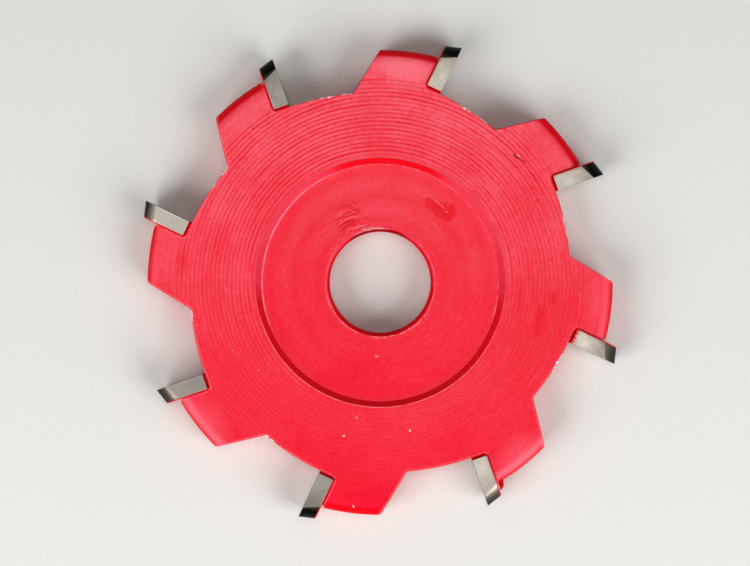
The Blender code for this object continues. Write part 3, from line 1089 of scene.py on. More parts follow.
@dataclass
class ToothPlan:
    """Plan of one tooth, an eighth of the body, from the middle of one rim arc to the next.

    The edge runs anticlockwise: rim, flank, gullet, seat and rim again. Each of its points
    has a milled share, 1 on a milled edge and 0 on the turned rim. Loops inside the edge
    carry its rounding, and rings carry the turned form.
    """

    sizes: CutterSizes = SIZES
    inner_radius: float = 47.0
    columns: int = 30
    sector_lead: float = math.radians(32.5)
    spacing: float = 0.45
    fillet_steps: int = 8
    rounding: float = 0.22
    insets: tuple[float, ...] = (0.0, 0.02, 0.06, 0.12, 0.22, 0.32)
    ring_margin: float = 0.42
    sliver_area: float = 1e-5
    weld_distance: float = 1e-6
    edge: list[Vector] = field(default_factory=list)
    milled: list[float] = field(default_factory=list)

    def __post_init__(self) -> None:
        """Trace the edge once."""
        self.start = self.sizes.first_tip_angle - self.sector_lead
        self.end = self.start + self.sizes.pitch_angle
        self._trace()

    def _add(self, points: Sequence[Vector], first: float = 1.0, last: float = 1.0) -> None:
        """Add points whose milled share runs evenly from first to last.

        Args:
            points: Points of one run of the edge, its first point shared with the last run.
            first: Milled share at the start.
            last: Milled share at the end.
        """
        for index, point in enumerate(points):
            if index or not self.edge:
                self.edge.append(point)
                self.milled.append(first + (last - first) * index / (len(points) - 1))

    def _trace(self) -> None:
        """Trace the edge with the formulas of the solids."""
        sizes = self.sizes
        tip = sizes.first_tip_angle
        origin = Vector((0.0, 0.0))
        axis = polar(1.0, tip - sizes.rake_angle)
        back = polar(1.0, tip - sizes.rake_angle + math.pi / 2)
        seat_floor = axis * sizes.seat_floor_reach
        seat_corner = seat_floor + back * sizes.rake_offset
        seat_wall = back * (sizes.back_offset + sizes.seat_back_gap)
        rim_corner = polar(sizes.rim_radius, tip - sizes.flank_rim_angle)
        foot = polar(seat_corner.length - sizes.gullet_foot_drop, tip - sizes.gullet_foot_angle)
        flank = (foot - rim_corner).normalized()
        side = Vector((flank.y, -flank.x))

        chord = seat_corner - foot
        inward = Vector((-chord.y, chord.x)).normalized()
        inward *= -1.0 if inward.dot(foot) > 0 else 1.0
        centre = (foot + seat_corner) / 2 + inward * math.sqrt(
            sizes.gullet_floor_radius ** 2 - (chord.length / 2) ** 2)

        corner = Blend.between(rim_corner, flank, -side, origin, sizes.rim_radius,
                               sizes.flank_corner_fillet, False, rim_corner)
        heel = Blend.between(foot, flank, side, centre, sizes.gullet_floor_radius,
                             sizes.gullet_foot_fillet, True, foot)
        lip = Blend.between(seat_wall, axis, back, origin, sizes.rim_radius,
                            sizes.seat_lip_fillet, False, axis * sizes.rim_radius)
        nook = seat_floor + seat_wall + (axis - back) * sizes.seat_fillet
        floor_start = angle_of(heel.on_circle - centre)
        floor_end = turn(floor_start, angle_of(seat_corner - centre))
        floor_steps = round(abs(floor_end - floor_start) * sizes.gullet_floor_radius / self.spacing)
        nook_start = angle_of(-axis)
        nook_end = turn(nook_start, angle_of(back))

        self._add(self._rim_arc(self.start, angle_of(corner.on_circle)), 0.0, 0.0)
        self._add(corner.points(False, self.fillet_steps), 0.0, 1.0)
        self._add(straight(corner.on_line, heel.on_line, self.spacing))
        self._add(heel.points(True, self.fillet_steps))
        self._add(arc(centre, sizes.gullet_floor_radius, floor_start, floor_end, floor_steps))
        self._add(straight(seat_corner, nook - axis * sizes.seat_fillet, self.spacing))
        self._add(arc(nook, sizes.seat_fillet, nook_start, nook_end, self.fillet_steps))
        self._add(straight(nook + back * sizes.seat_fillet, lip.on_line, self.spacing))
        self._add(lip.points(True, self.fillet_steps), 1.0, 0.0)
        self._add(self._rim_arc(angle_of(lip.on_circle), self.end), 0.0, 0.0)

    def _rim_arc(self, start: float, end: float) -> list[Vector]:
        """Trace the rim between two angles.

        Args:
            start: Angle of the first point.
            end: Angle of the last point.

        Returns:
            The rim's points, both ends included.
        """
        end = turn(start, end)
        steps = max(round((end - start) * self.sizes.rim_radius / self.spacing), 1)
        return arc(Vector((0.0, 0.0)), self.sizes.rim_radius, start, end, steps)

    def loops(self) -> list[np.ndarray]:
        """Copies of the edge drawn in by each inset.

        Returns:
            One array of points for each inset, from the edge inwards.
        """
        edge = np.array([tuple(point) for point in self.edge])
        steps = np.diff(edge, axis=0)
        steps /= np.linalg.norm(steps, axis=1)[:, None]
        normals = np.stack([-steps[:, 1], steps[:, 0]], axis=1)
        before = np.vstack([normals[:1], normals])
        after = np.vstack([normals, normals[-1:]])
        mitre = before + after
        mitre /= 1.0 + np.sum(before * after, axis=1)[:, None]
        for end in (0, -1):
            mitre[end] = -edge[end] / np.linalg.norm(edge[end])
        return [edge + mitre * inset for inset in self.insets]

    def distance(self, points: np.ndarray, milled_only: bool = False) -> np.ndarray:
        """Distance of each point to the nearest edge of the plan.

        Args:
            points: Points of the plan.
            milled_only: Whether the turned rim is left out.

        Returns:
            One distance for each point.
        """
        edge = np.array([tuple(point) for point, share in zip(self.edge, self.milled)
                         if share > 0.5 or not milled_only])
        start, run = edge[:-1], np.diff(edge, axis=0)
        gap = points[:, None, :] - start[None, :, :]
        share = np.clip(np.sum(gap * run, axis=2) / np.sum(run * run, axis=1), 0.0, 1.0)
        return np.min(np.linalg.norm(gap - share[:, :, None] * run, axis=2), axis=1)

    def contains(self, points: np.ndarray) -> np.ndarray:
        """Whether each point lies inside the tooth's plan.

        Args:
            points: Points of the plan.

        Returns:
            One truth value for each point.
        """
        inner = arc(Vector((0.0, 0.0)), self.inner_radius, self.end, self.start, self.columns)
        outline = np.array([tuple(point) for point in self.edge + inner])
        crossings = np.zeros(len(points), dtype=int)
        for (x0, y0), (x1, y1) in zip(outline, np.roll(outline, -1, axis=0)):
            if y0 == y1:
                continue
            spans = (points[:, 1] >= min(y0, y1)) & (points[:, 1] < max(y0, y1))
            meets = x0 + (points[:, 1] - y0) * (x1 - x0) / (y1 - y0)
            crossings += spans & (points[:, 0] < meets)
        return crossings % 2 == 1

    def mesh(self, rings: Sequence[float]) -> tuple[np.ndarray, np.ndarray, np.ndarray]:
        """Triangulate the plan through its loops and rings.

        Args:
            rings: Radii of the rings, from the inner one outwards.

        Returns:
            The points, with the edge's own points first; the fall of the rounded edge at
            each point; and the triangles.
        """
        points: list[tuple[float, float]] = []
        falls: list[float] = []
        edges: list[tuple[int, int]] = []
        seams: tuple[list[int], list[int]] = ([], [])
        for inset, loop in zip(self.insets, self.loops()):
            first = len(points)
            short = max(self.rounding - inset, 0.0)
            drop = self.rounding - math.sqrt(self.rounding ** 2 - short ** 2)
            points += [tuple(point) for point in loop]
            falls += [drop * share for share in self.milled]
            edges += [(first + i, first + i + 1) for i in range(len(loop) - 1)]
            seams[0].append(first)
            seams[1].append(first + len(loop) - 1)
        angles = self.start + (self.end - self.start) * np.arange(self.columns + 1) / self.columns
        for radius in rings:
            ring = np.stack([radius * np.cos(angles), radius * np.sin(angles)], axis=1)
            clear = self.distance(ring) > self.ring_margin
            clear[1:-1] &= self.contains(ring[1:-1]) | (radius <= self.inner_radius)
            last = None
            for column, point in enumerate(ring):
                if not clear[column]:
                    last = None
                    continue
                points.append(tuple(point))
                falls.append(0.0)
                if last is not None:
                    edges.append((last, len(points) - 1))
                last = len(points) - 1
                if column in (0, self.columns):
                    seams[0 if column == 0 else 1].append(last)
        for seam in seams:
            ordered = sorted(seam, key=lambda index: math.hypot(*points[index]))
            edges += list(zip(ordered[:-1], ordered[1:]))
        found = delaunay_2d_cdt([Vector(point) for point in points], edges, [], 0, self.weld_distance)
        triangles = np.array([[found[3][corner][0] for corner in face] for face in found[2]])
        corners = np.array(points)
        inside = self.contains(corners[triangles].mean(axis=1))
        return corners, np.array(falls), self._without_slivers(corners, triangles[inside])

    def _without_slivers(self, corners: np.ndarray, triangles: np.ndarray) -> np.ndarray:
        """Join each triangle without area, which points on one line make, to its neighbour.

        Args:
            corners: Points of the plan.
            triangles: Triangles of the plan.

        Returns:
            Triangles that fill the same plan, all of them with an area.
        """
        slivers = []
        kept = triangles.tolist()
        for triangle in kept:
            one = corners[triangle[1]] - corners[triangle[0]]
            other = corners[triangle[2]] - corners[triangle[0]]
            if abs(one[0] * other[1] - one[1] * other[0]) < 2 * self.sliver_area:
                spans = [float(np.linalg.norm(corners[triangle[place - 2]] - corners[triangle[place - 1]]))
                         for place in range(3)]
                slivers.append((max(spans), spans.index(max(spans)), triangle))
        for _, place, sliver in sorted(slivers, reverse=True):
            kept.remove(sliver)
            middle, start, end = sliver[place], sliver[place - 2], sliver[place - 1]
            for index, triangle in enumerate(kept):
                if start in triangle and end in triangle:
                    kept[index] = [middle if corner == end else corner for corner in triangle]
                    kept.append([middle if corner == start else corner for corner in triangle])
                    break
        return np.array(kept)


@dataclass
class ToothedBody:
    """Painted steel body: turned disc, ridged face, recess and bore, gullets and seats."""

    sizes: CutterSizes = SIZES
    plan: ToothPlan = field(default_factory=ToothPlan)
    sharp_angle: float = 32.0
    rows_per_ridge: int = 8
    wall_rows: int = 6
    rim_rows: int = 11
    rim_run: float = 3.4
    last_rim_row: float = 0.4
    lobe_ring_spacing: float = 0.75
    recess_ring_pitch: float = 1.2
    recess_ring_count: int = 12
    recess_ring_land: float = 1.0
    plain_spacing: float = 2.0
    corner_steps: int = 5
    recess_edge_rounding: float = 0.3
    recess_foot_rounding: float = 0.35
    bore_edge_rounding: float = 0.24
    ridge_depth: float = 0.05
    ring_depth: float = 0.026
    deepest_heading: float = math.radians(112.0)

    def build(self, enamel: Material) -> Piece:
        """Make the body and dress it.

        Args:
            enamel: Material of the paint.

        Returns:
            The finished piece.
        """
        sizes = self.sizes
        builder = bmesh.new()
        distances = builder.verts.layers.float.new("edge_distance")
        self._add_outer(builder, distances)
        self._add_inner(builder, distances)
        bmesh.ops.remove_doubles(builder, verts=builder.verts, dist=MERGE_DISTANCE)
        bmesh.ops.recalc_face_normals(builder, faces=builder.faces)
        facing = builder.verts.layers.float.new("facing_up")
        builder.normal_update()
        for vert in builder.verts:
            vert[facing] = abs(vert.normal.z)
        body = add_piece("painted_body", builder, [enamel], self.sharp_angle)
        tree = self._ring_tree()
        deepest = {"Deepest heading": polar(1.0, self.deepest_heading).to_3d()}
        tree.apply(body, {
            "First valley": (sizes.first_crest - sizes.ridge_pitch / 2) * MM,
            "Pitch": sizes.ridge_pitch * MM, "Depth": self.ridge_depth * MM, "Valleys": sizes.ridge_count + 1,
            "Lowest height": (sizes.upper_face - 0.3) * MM, "Sharpness": 1.8, "Runout": 0.5, "Seed": 5,
            "Mark": "ridge_valley", **deepest})
        tree.apply(body, {
            "First valley": (sizes.bore_radius + sizes.bore_chamfer + self.recess_ring_land) * MM,
            "Pitch": self.recess_ring_pitch * MM, "Depth": self.ring_depth * MM,
            "Valleys": self.recess_ring_count + 1,
            "Lowest height": (sizes.recess_floor - 0.02) * MM, "Sharpness": 2.0, "Runout": 0.6, "Seed": 9,
            "Mark": "recess_valley", **deepest})
        return body

    def _height(self, radius: np.ndarray) -> np.ndarray:
        """Height of the turned upper face outside the recess.

        Args:
            radius: Distances from the bore's axis.

        Returns:
            One height for each radius.
        """
        beyond = np.clip((np.round(radius, 4) - self.sizes.rim_radius) / self.rim_run + 1.0, 0.0, 1.0)
        return self.sizes.upper_face - self.sizes.rim_rounding * (1.0 - np.sqrt(1.0 - beyond ** 2))

    def _rings(self, ridged: bool) -> list[float]:
        """Radii of the rings that carry the turned form, from the inner one outwards.

        Args:
            ridged: Whether the face has ridges.

        Returns:
            The radii.
        """
        sizes = self.sizes
        step = sizes.ridge_pitch / self.rows_per_ridge
        rounding_start = sizes.rim_radius - self.rim_run
        radii = [self.plan.inner_radius]
        if ridged:
            ridge_end = sizes.first_crest + sizes.ridge_count * sizes.ridge_pitch
            rows = int((ridge_end - self.plan.inner_radius) / step)
            radii += [self.plan.inner_radius + step * (row + 1) for row in range(rows)]
        while radii[-1] + self.lobe_ring_spacing < rounding_start:
            radii.append(radii[-1] + self.lobe_ring_spacing)
        last = math.asin(1.0 - self.last_rim_row / self.rim_run)
        radii += [rounding_start + self.rim_run * math.sin(last * row / self.rim_rows)
                  for row in range(self.rim_rows + 1)]
        return radii

    def _add_outer(self, builder: Builder, distances: Layer) -> None:
        """Add the toothed part of the body: upper face, underside and milled walls.

        Args:
            builder: Mesh under construction.
            distances: Layer for the distance to the nearest milled edge.
        """
        sides = []
        for is_top in (True, False):
            points, falls, triangles = self.plan.mesh(self._rings(is_top))
            heights = self._height(np.linalg.norm(points, axis=1)) - falls
            levels = heights if is_top else self.sizes.tip_width - heights
            sides.append((points, levels, self.plan.distance(points, milled_only=True), triangles))
        for tooth in range(self.sizes.tip_count):
            angle = tooth * self.sizes.pitch_angle
            cosine, sine = math.cos(angle), math.sin(angle)
            rims = []
            for points, levels, near, triangles in sides:
                verts = []
                for (x, y), level, gap in zip(points, levels, near):
                    place = ((x * cosine - y * sine) * MM, (x * sine + y * cosine) * MM, level * MM)
                    vert = builder.verts.new(place)
                    vert[distances] = gap
                    verts.append(vert)
                for corners in triangles:
                    builder.faces.new([verts[corner] for corner in corners])
                rims.append(verts[:len(self.plan.edge)])
            self._add_wall(builder, distances, rims[0], rims[1])
        loose = [vert for vert in builder.verts if not vert.link_faces]
        bmesh.ops.delete(builder, geom=loose, context="VERTS")

    def _add_wall(self, builder: Builder, distances: Layer, upper: Ring, lower: Ring) -> None:
        """Add the wall between the edges of the upper face and of the underside.

        Args:
            builder: Mesh under construction.
            distances: Layer for the distance to the nearest milled edge, below 0 on its wall.
            upper: Points of the upper edge.
            lower: Points of the lower edge.
        """
        rows = [upper]
        for row in range(1, self.wall_rows):
            between = []
            for high, low in zip(upper, lower):
                vert = builder.verts.new(high.co.lerp(low.co, row / self.wall_rows))
                depth = (high.co - vert.co).length / MM
                height = (vert.co - low.co).length / MM
                on_milled = high[distances] < 0.01
                vert[distances] = -min(depth, height) if on_milled else high[distances] + depth
                between.append(vert)
            rows.append(between)
        bridge(builder, [*rows, lower], closed=False, capped=False)

    def _profile(self) -> list[tuple[float, float]]:
        """Section of the turned part inside the teeth, as radius and height.

        Returns:
            Points from the upper face inwards, down the bore and out along the underside.
        """
        sizes = self.sizes
        step = sizes.ridge_pitch / self.rows_per_ridge
        ridge_start = sizes.first_crest - sizes.ridge_pitch / 2
        rows = round((self.plan.inner_radius - ridge_start) / step)
        points = [(self.plan.inner_radius - step * row, sizes.upper_face) for row in range(rows + 1)]
        lip = sizes.bore_radius + sizes.bore_chamfer
        corners = [
            (points[-1][0], sizes.upper_face, 0.0),
            (sizes.recess_radius, sizes.upper_face, self.recess_edge_rounding),
            (sizes.recess_radius - sizes.recess_wall_run, sizes.recess_floor, self.recess_foot_rounding),
            (lip, sizes.recess_floor, self.bore_edge_rounding),
            (sizes.bore_radius, sizes.recess_floor - sizes.bore_chamfer, self.bore_edge_rounding),
            (sizes.bore_radius, sizes.lower_face + sizes.bore_chamfer, self.bore_edge_rounding),
            (lip, sizes.lower_face, self.bore_edge_rounding),
            (self.plan.inner_radius, sizes.lower_face, 0.0),
        ]
        section = [Vector(corners[0][:2])]
        for before, corner, after in zip(corners[:-2], corners[1:-1], corners[2:]):
            section += self._rounded(Vector(before[:2]), Vector(corner[:2]), Vector(after[:2]), corner[2])
        section.append(Vector(corners[-1][:2]))
        for start, end in zip(section[:-1], section[1:]):
            points += [tuple(point) for point in straight(start, end, self.plain_spacing)[1:]]
        return points

    def _rounded(self, before: Vector, corner: Vector, after: Vector, radius: float) -> list[Vector]:
        """Round one corner of the section.

        Args:
            before: Corner before it.
            corner: Corner to round.
            after: Corner after it.
            radius: Radius of the rounding.

        Returns:
            Points of the rounding, its ends exactly on a level run beside it.
        """
        entry = (before - corner).normalized()
        leave = (after - corner).normalized()
        half = entry.angle(leave) / 2
        middle = corner + (entry + leave).normalized() * radius / math.sin(half)
        ends = [corner + way * radius / math.tan(half) for way in (entry, leave)]
        start = angle_of(ends[0] - middle)
        points = arc(middle, radius, start, turn(start, angle_of(ends[1] - middle)), self.corner_steps)
        points[0], points[-1] = ends
        for point, level in ((points[0], before.y), (points[-1], after.y)):
            if abs(point.y - corner.y) < 1e-4 and abs(level - corner.y) < 1e-4:
                point.y = corner.y
        return points

    def _add_inner(self, builder: Builder, distances: Layer) -> None:
        """Add the turned part inside the teeth, round the whole circle.

        Args:
            builder: Mesh under construction.
            distances: Layer for the distance to the nearest milled edge.
        """
        columns = self.plan.columns * self.sizes.tip_count
        nearest = min(point.length for point in self.plan.edge)
        rings = []
        for radius, height in self._profile():
            ring = []
            for column in range(columns):
                place = polar(radius, self.plan.start + math.tau * column / columns)
                vert = builder.verts.new((place.x * MM, place.y * MM, height * MM))
                vert[distances] = nearest - radius
                ring.append(vert)
            rings.append(ring)
        bridge(builder, rings, capped=False)

    def _ring_tree(self) -> FormTree:
        """Build the tree that cuts round valleys into a face, each with its own strength.

        Returns:
            The tree.
        """
        tree = FormTree("turned valleys", {
            "First valley": "Float", "Pitch": "Float", "Depth": "Float", "Valleys": "Int",
            "Lowest height": "Float", "Sharpness": "Float", "Deepest heading": "Vector",
            "Runout": "Float", "Seed": "Int", "Mark": "String"})
        given = tree.given
        east, north, height = tree.add("SeparateXYZ", [tree.add("GeometryNodeInputPosition")]).node.outputs
        flat = tree.add("CombineXYZ", [east, north])
        radius = tree.add("VectorMath", [flat], "Value", operation="LENGTH")
        around = tree.add("VectorMath", [flat], operation="NORMALIZE")
        beyond = tree.add("Math", [radius, given["First valley"]], operation="SUBTRACT")
        count = tree.add("Math", [beyond, given["Pitch"]], operation="DIVIDE")
        nearest = tree.add("Math", [count], operation="ROUND")
        off = tree.add("Math", [count, nearest], operation="SUBTRACT")
        wave = tree.add("Math", [tree.add("Math", [off, math.tau], operation="MULTIPLY")], operation="COSINE")
        rise = tree.add("Math", [wave, 0.5, 0.5], operation="MULTIPLY_ADD", use_clamp=True)
        valley = tree.add("Math", [rise, given["Sharpness"]], operation="POWER")

        # Each valley has its own depth, which also wanders round the turn
        own = tree.add("FunctionNodeRandomValue", {2: 0.6, 3: 1.1, "ID": nearest, "Seed": given["Seed"]}, 1,
                       data_type="FLOAT")
        lift = tree.add("CombineXYZ", {2: nearest})
        place = tree.add("VectorMath", [around, (2.2, 2.2, 0.0), lift], operation="MULTIPLY_ADD")
        wander = tree.add("TexNoise", [place, None, 1.0, 2.0])
        wandering = tree.add("MapRange", [wander, 0.3, 0.65, 0.55, 1.2])

        # The face ran out a little in the lathe, so the tool cut deeper on one side
        towards = tree.add("VectorMath", [around, given["Deepest heading"]], "Value", operation="DOT_PRODUCT")
        deeper = tree.add("Math", [towards, given["Runout"], 1.0], operation="MULTIPLY_ADD")
        on_first = tree.add("Math", [nearest, -0.5], operation="GREATER_THAN")
        on_last = tree.add("Math", [nearest, given["Valleys"]], operation="LESS_THAN")
        on_face = tree.add("Math", [height, given["Lowest height"]], operation="GREATER_THAN")
        for factor in (own, wandering, deeper, on_first, on_last, on_face):
            valley = tree.add("Math", [valley, factor], operation="MULTIPLY")
        fall = tree.add("Math", [valley, given["Depth"]], operation="MULTIPLY")
        move = tree.add("CombineXYZ", {2: tree.add("Math", [fall, -1.0], operation="MULTIPLY")})
        marked = tree.add("GeometryNodeStoreNamedAttribute", {
            "Geometry": given["Geometry"], "Name": given["Mark"], "Value": valley},
            data_type="FLOAT", domain="POINT")
        tree.close(tree.add("GeometryNodeSetPosition", {"Geometry": marked, "Offset": move}))
        return tree


@dataclass
class CarbideTip:
    """One brazed tip: flat ground sides, a rounded nose relieved behind the rake face."""

    number: int
    side: SideTone
    nose: NoseTone
    sizes: CutterSizes = SIZES
    nose_steps: int = 36
    sections: int = 6
    edge_softening: float = 0.05
    softened_angle: float = math.radians(18.0)
    sharp_angle: float = 24.0

    @property
    def angle(self) -> float:
        """Angle of the tip's cutting corner."""
        return self.sizes.first_tip_angle - (self.number - 1) * self.sizes.pitch_angle

    def section(self, share: float) -> tuple[list[tuple[float, float]], float]:
        """Cross profile of the tip at a share of its thickness behind the rake face.

        Args:
            share: 0 at the rake face and 1 at the back.

        Returns:
            Points as reach along the tip and height from its middle, and the reach at
            which the flat side ends.
        """
        profiles = []
        sizes = self.sizes
        for relief, side_loss, end_loss in (
            (0.0, 0.0, 0.0),
            (sizes.nose_relief, sizes.tip_thickness * math.tan(sizes.side_clearance),
             sizes.tip_thickness * math.tan(sizes.top_clearance)),
        ):
            half_width = sizes.tip_width / 2 - side_loss
            radius = sizes.tip_width / 2 + sizes.nose_flattening - relief
            middle = sizes.tip_end_reach - end_loss - radius
            spread = math.asin(min(half_width / radius, 1.0))
            crease = middle + radius * math.cos(spread)
            root_half = half_width - (crease - sizes.tip_root_reach) * math.tan(sizes.radial_clearance)
            points = [(sizes.tip_root_reach, -root_half)]
            for step in range(self.nose_steps + 1):
                angle = spread * (2 * step / self.nose_steps - 1)
                points.append((middle + radius * math.cos(angle), radius * math.sin(angle)))
            points.append((sizes.tip_root_reach, root_half))
            profiles.append((points, crease))
        (front, front_crease), (rear, rear_crease) = profiles
        mixed = [(a + (c - a) * share, b + (d - b) * share) for (a, b), (c, d) in zip(front, rear)]
        return mixed, front_crease + (rear_crease - front_crease) * share

    def build(self, materials: Sequence[Material]) -> Piece:
        """Make the tip and dress it.

        Args:
            materials: Materials of its sides, its nose, its rake face and its back.

        Returns:
            The finished piece.
        """
        sizes = self.sizes
        axis = polar(1.0, self.angle - sizes.rake_angle)
        back = polar(1.0, self.angle - sizes.rake_angle + math.pi / 2)
        builder = bmesh.new()
        rings = []
        for row in range(self.sections + 1):
            share = row / self.sections
            ring = []
            for reach, height in self.section(share)[0]:
                place = axis * reach + back * (sizes.rake_offset + sizes.tip_thickness * share)
                level = (sizes.middle_height + height) * MM
                ring.append(builder.verts.new((place.x * MM, place.y * MM, level)))
            rings.append(ring)
        bridge(builder, rings)
        bmesh.ops.recalc_face_normals(builder, faces=builder.faces)
        sharp = [edge for edge in builder.edges if edge.calc_face_angle(0.0) > self.softened_angle]
        bmesh.ops.bevel(builder, geom=sharp, offset=self.edge_softening * MM, segments=2, profile=0.5,
                        affect="EDGES", clamp_overlap=True)
        bmesh.ops.recalc_face_normals(builder, faces=builder.faces)
        self._dress(builder, axis, back)
        return add_piece(f"carbide_tip_{self.number}", builder, materials, self.sharp_angle)

    def _dress(self, builder: Builder, axis: Vector, back: Vector) -> None:
        """Lay the tip's own plan as its UV map and choose each face's material.

        Args:
            builder: Mesh of the tip.
            axis: Direction of the tip in plan.
            back: Direction from the rake face to the back in plan.
        """
        sizes = self.sizes
        from_root = builder.verts.layers.float.new("root_distance")
        for vert in builder.verts:
            vert[from_root] = vert.co.xy.dot(axis) / MM - sizes.tip_root_reach
        chart = builder.loops.layers.uv.new("tip_plan")

        def past_crease(place: Vector) -> tuple[float, float]:
            """Find how far a place lies past the crease and behind the rake face.

            Args:
                place: Place in plan in millimetres.

            Returns:
                Both distances in millimetres.
            """
            behind = place.dot(back) - sizes.rake_offset
            crease = self.section(min(max(behind / sizes.tip_thickness, 0.0), 1.0))[1]
            return place.dot(axis) - crease, behind

        for face in builder.faces:
            towards_back, outwards = face.normal.xy.dot(back), face.normal.xy.dot(axis)
            if towards_back < -0.8:
                face.material_index = 2
            elif towards_back > 0.8 or outwards < -0.8:
                face.material_index = 3
            else:
                face.material_index = 1 if past_crease(face.calc_center_median().xy / MM)[0] > 0 else 0
            for loop in face.loops:
                loop[chart].uv = past_crease(loop.vert.co.xy / MM)


@dataclass
class BrazedSeats:
    """Painted braze in the seats, and the skin of paint on the back of each tip.

    The fill overlaps the body and the tip a little. The skin's layers are its shares of the
    full thickness, and how far each is drawn in from the tip's outline.
    """

    sizes: CutterSizes = SIZES
    overlap: float = 0.04
    wall_drop: float = 0.2
    tip_drop: float = 0.8
    root_depth: float = 1.15
    fill_rows: int = 6
    nose_steps: int = 24
    sharp_angle: float = 40.0
    skin: float = 0.26
    skin_foot: float = -0.1
    skin_layers: tuple[tuple[float, float], ...] = ((0.55, 0.056), (0.9, 0.106), (1.0, 0.196))

    def build(self, painted_braze: Material) -> Piece:
        """Make the first seat's fill and repeat it for each tip.

        Args:
            painted_braze: Material of the fill.

        Returns:
            The finished piece.
        """
        builder = bmesh.new()
        self._add_fill(builder, builder.verts.layers.float.new("gap_depth"))
        self._add_skin(builder)
        bmesh.ops.remove_doubles(builder, verts=builder.verts, dist=MERGE_DISTANCE)
        bmesh.ops.recalc_face_normals(builder, faces=builder.faces)
        piece = add_piece("brazed_seats", builder, [painted_braze], self.sharp_angle)
        tree = FormTree("copies round the bore", {"Copies": "Int", "Pitch angle": "Float"})
        points = tree.add("GeometryNodePoints", {"Count": tree.given["Copies"]})
        index = tree.add("GeometryNodeInputIndex")
        angle = tree.add("Math", [index, tree.given["Pitch angle"]], operation="MULTIPLY")
        tree.close(tree.add("GeometryNodeInstanceOnPoints", {
            "Points": points, "Instance": tree.given["Geometry"],
            "Rotation": tree.add("CombineXYZ", {2: angle})}))
        tree.apply(piece, {"Copies": self.sizes.tip_count, "Pitch angle": self.sizes.pitch_angle})
        return piece

    def _place(self, reach: float, offset: float, height: float) -> tuple[float, float, float]:
        """Find a place by the first tip's own directions.

        Args:
            reach: Distance from the bore's axis along the tip.
            offset: Distance from the bore's axis towards the tip's back.
            height: Height in the frame of the solids.

        Returns:
            The place in metres.
        """
        heading = self.sizes.first_tip_angle - self.sizes.rake_angle
        place = polar(reach, heading) + polar(offset, heading + math.pi / 2)
        return (place.x * MM, place.y * MM, height * MM)

    def _add_fill(self, builder: Builder, depths: Layer) -> None:
        """Add the braze between the tip and its seat, with an upper surface that sinks to the tip.

        Args:
            builder: Mesh under construction.
            depths: Layer that is 0 at the seat's wall and 1 at the tip, a little more at its root.
        """
        sizes = self.sizes
        wall = sizes.back_offset + sizes.seat_back_gap
        lip = math.sqrt(sizes.rim_radius ** 2 - wall ** 2) - sizes.seat_lip_fillet
        floor, root = sizes.seat_floor_reach - self.overlap, sizes.tip_root_reach
        behind = sizes.back_offset - self.overlap
        shoulder = wall - sizes.seat_fillet
        nook = Vector((sizes.seat_floor_reach + sizes.seat_fillet, shoulder))
        outer = [(floor, sizes.rake_offset + 0.12), (floor, shoulder)]
        outer += map(tuple, arc(nook, sizes.seat_fillet + self.overlap, math.pi, math.pi / 2, 6))
        outer += [(lip, wall + self.overlap)]
        inner = [(root + self.overlap, sizes.rake_offset + 0.2), (root + self.overlap, shoulder)]
        inner += [(root + step, behind) for step in (*[self.overlap] * 4, 0.3, 0.6, 0.9)]
        inner += [(lip, behind)]
        strips = []
        for (r0, o0), (r1, o1) in zip(outer, inner):
            strip = []
            for upper in (True, False):
                line = []
                for row in range(self.fill_rows + 1):
                    share = row / self.fill_rows
                    drop = self.wall_drop + (self.tip_drop - self.wall_drop) * share ** 3
                    level = sizes.upper_face - drop
                    height = level if upper else sizes.tip_width - level
                    place = self._place(r0 + (r1 - r0) * share, o0 + (o1 - o0) * share, height)
                    vert = builder.verts.new(place)
                    # The depth share sets the painted shade in the braze, a little more at the tip's root
                    vert[depths] = share * (self.root_depth if len(strips) < 2 else 1.0)
                    line.append(vert)
                strip += line if upper else line[::-1]
            strips.append(strip)
        bridge(builder, strips)

    def _add_skin(self, builder: Builder) -> None:
        """Add the skin of paint on the tip's back, out to the end of its nose.

        Args:
            builder: Mesh under construction.
        """
        profile, _ = CarbideTip(1, SideTone.EVEN, NoseTone.BLACK, nose_steps=self.nose_steps).section(1.0)
        middle = sum(reach for reach, _ in profile) / len(profile)
        layers = [(self.skin_foot, self.skin_layers[0][1])]
        layers += [(self.skin * share, inset) for share, inset in self.skin_layers]
        rings = []
        for rise, inset in layers:
            ring = []
            for reach, height in profile:
                drawn = Vector((reach - middle, height)).normalized() * inset
                level = self.sizes.middle_height + height - drawn.y
                place = self._place(reach - drawn.x, self.sizes.back_offset + rise, level)
                ring.append(builder.verts.new(place))
            rings.append(ring)
        bridge(builder, rings)


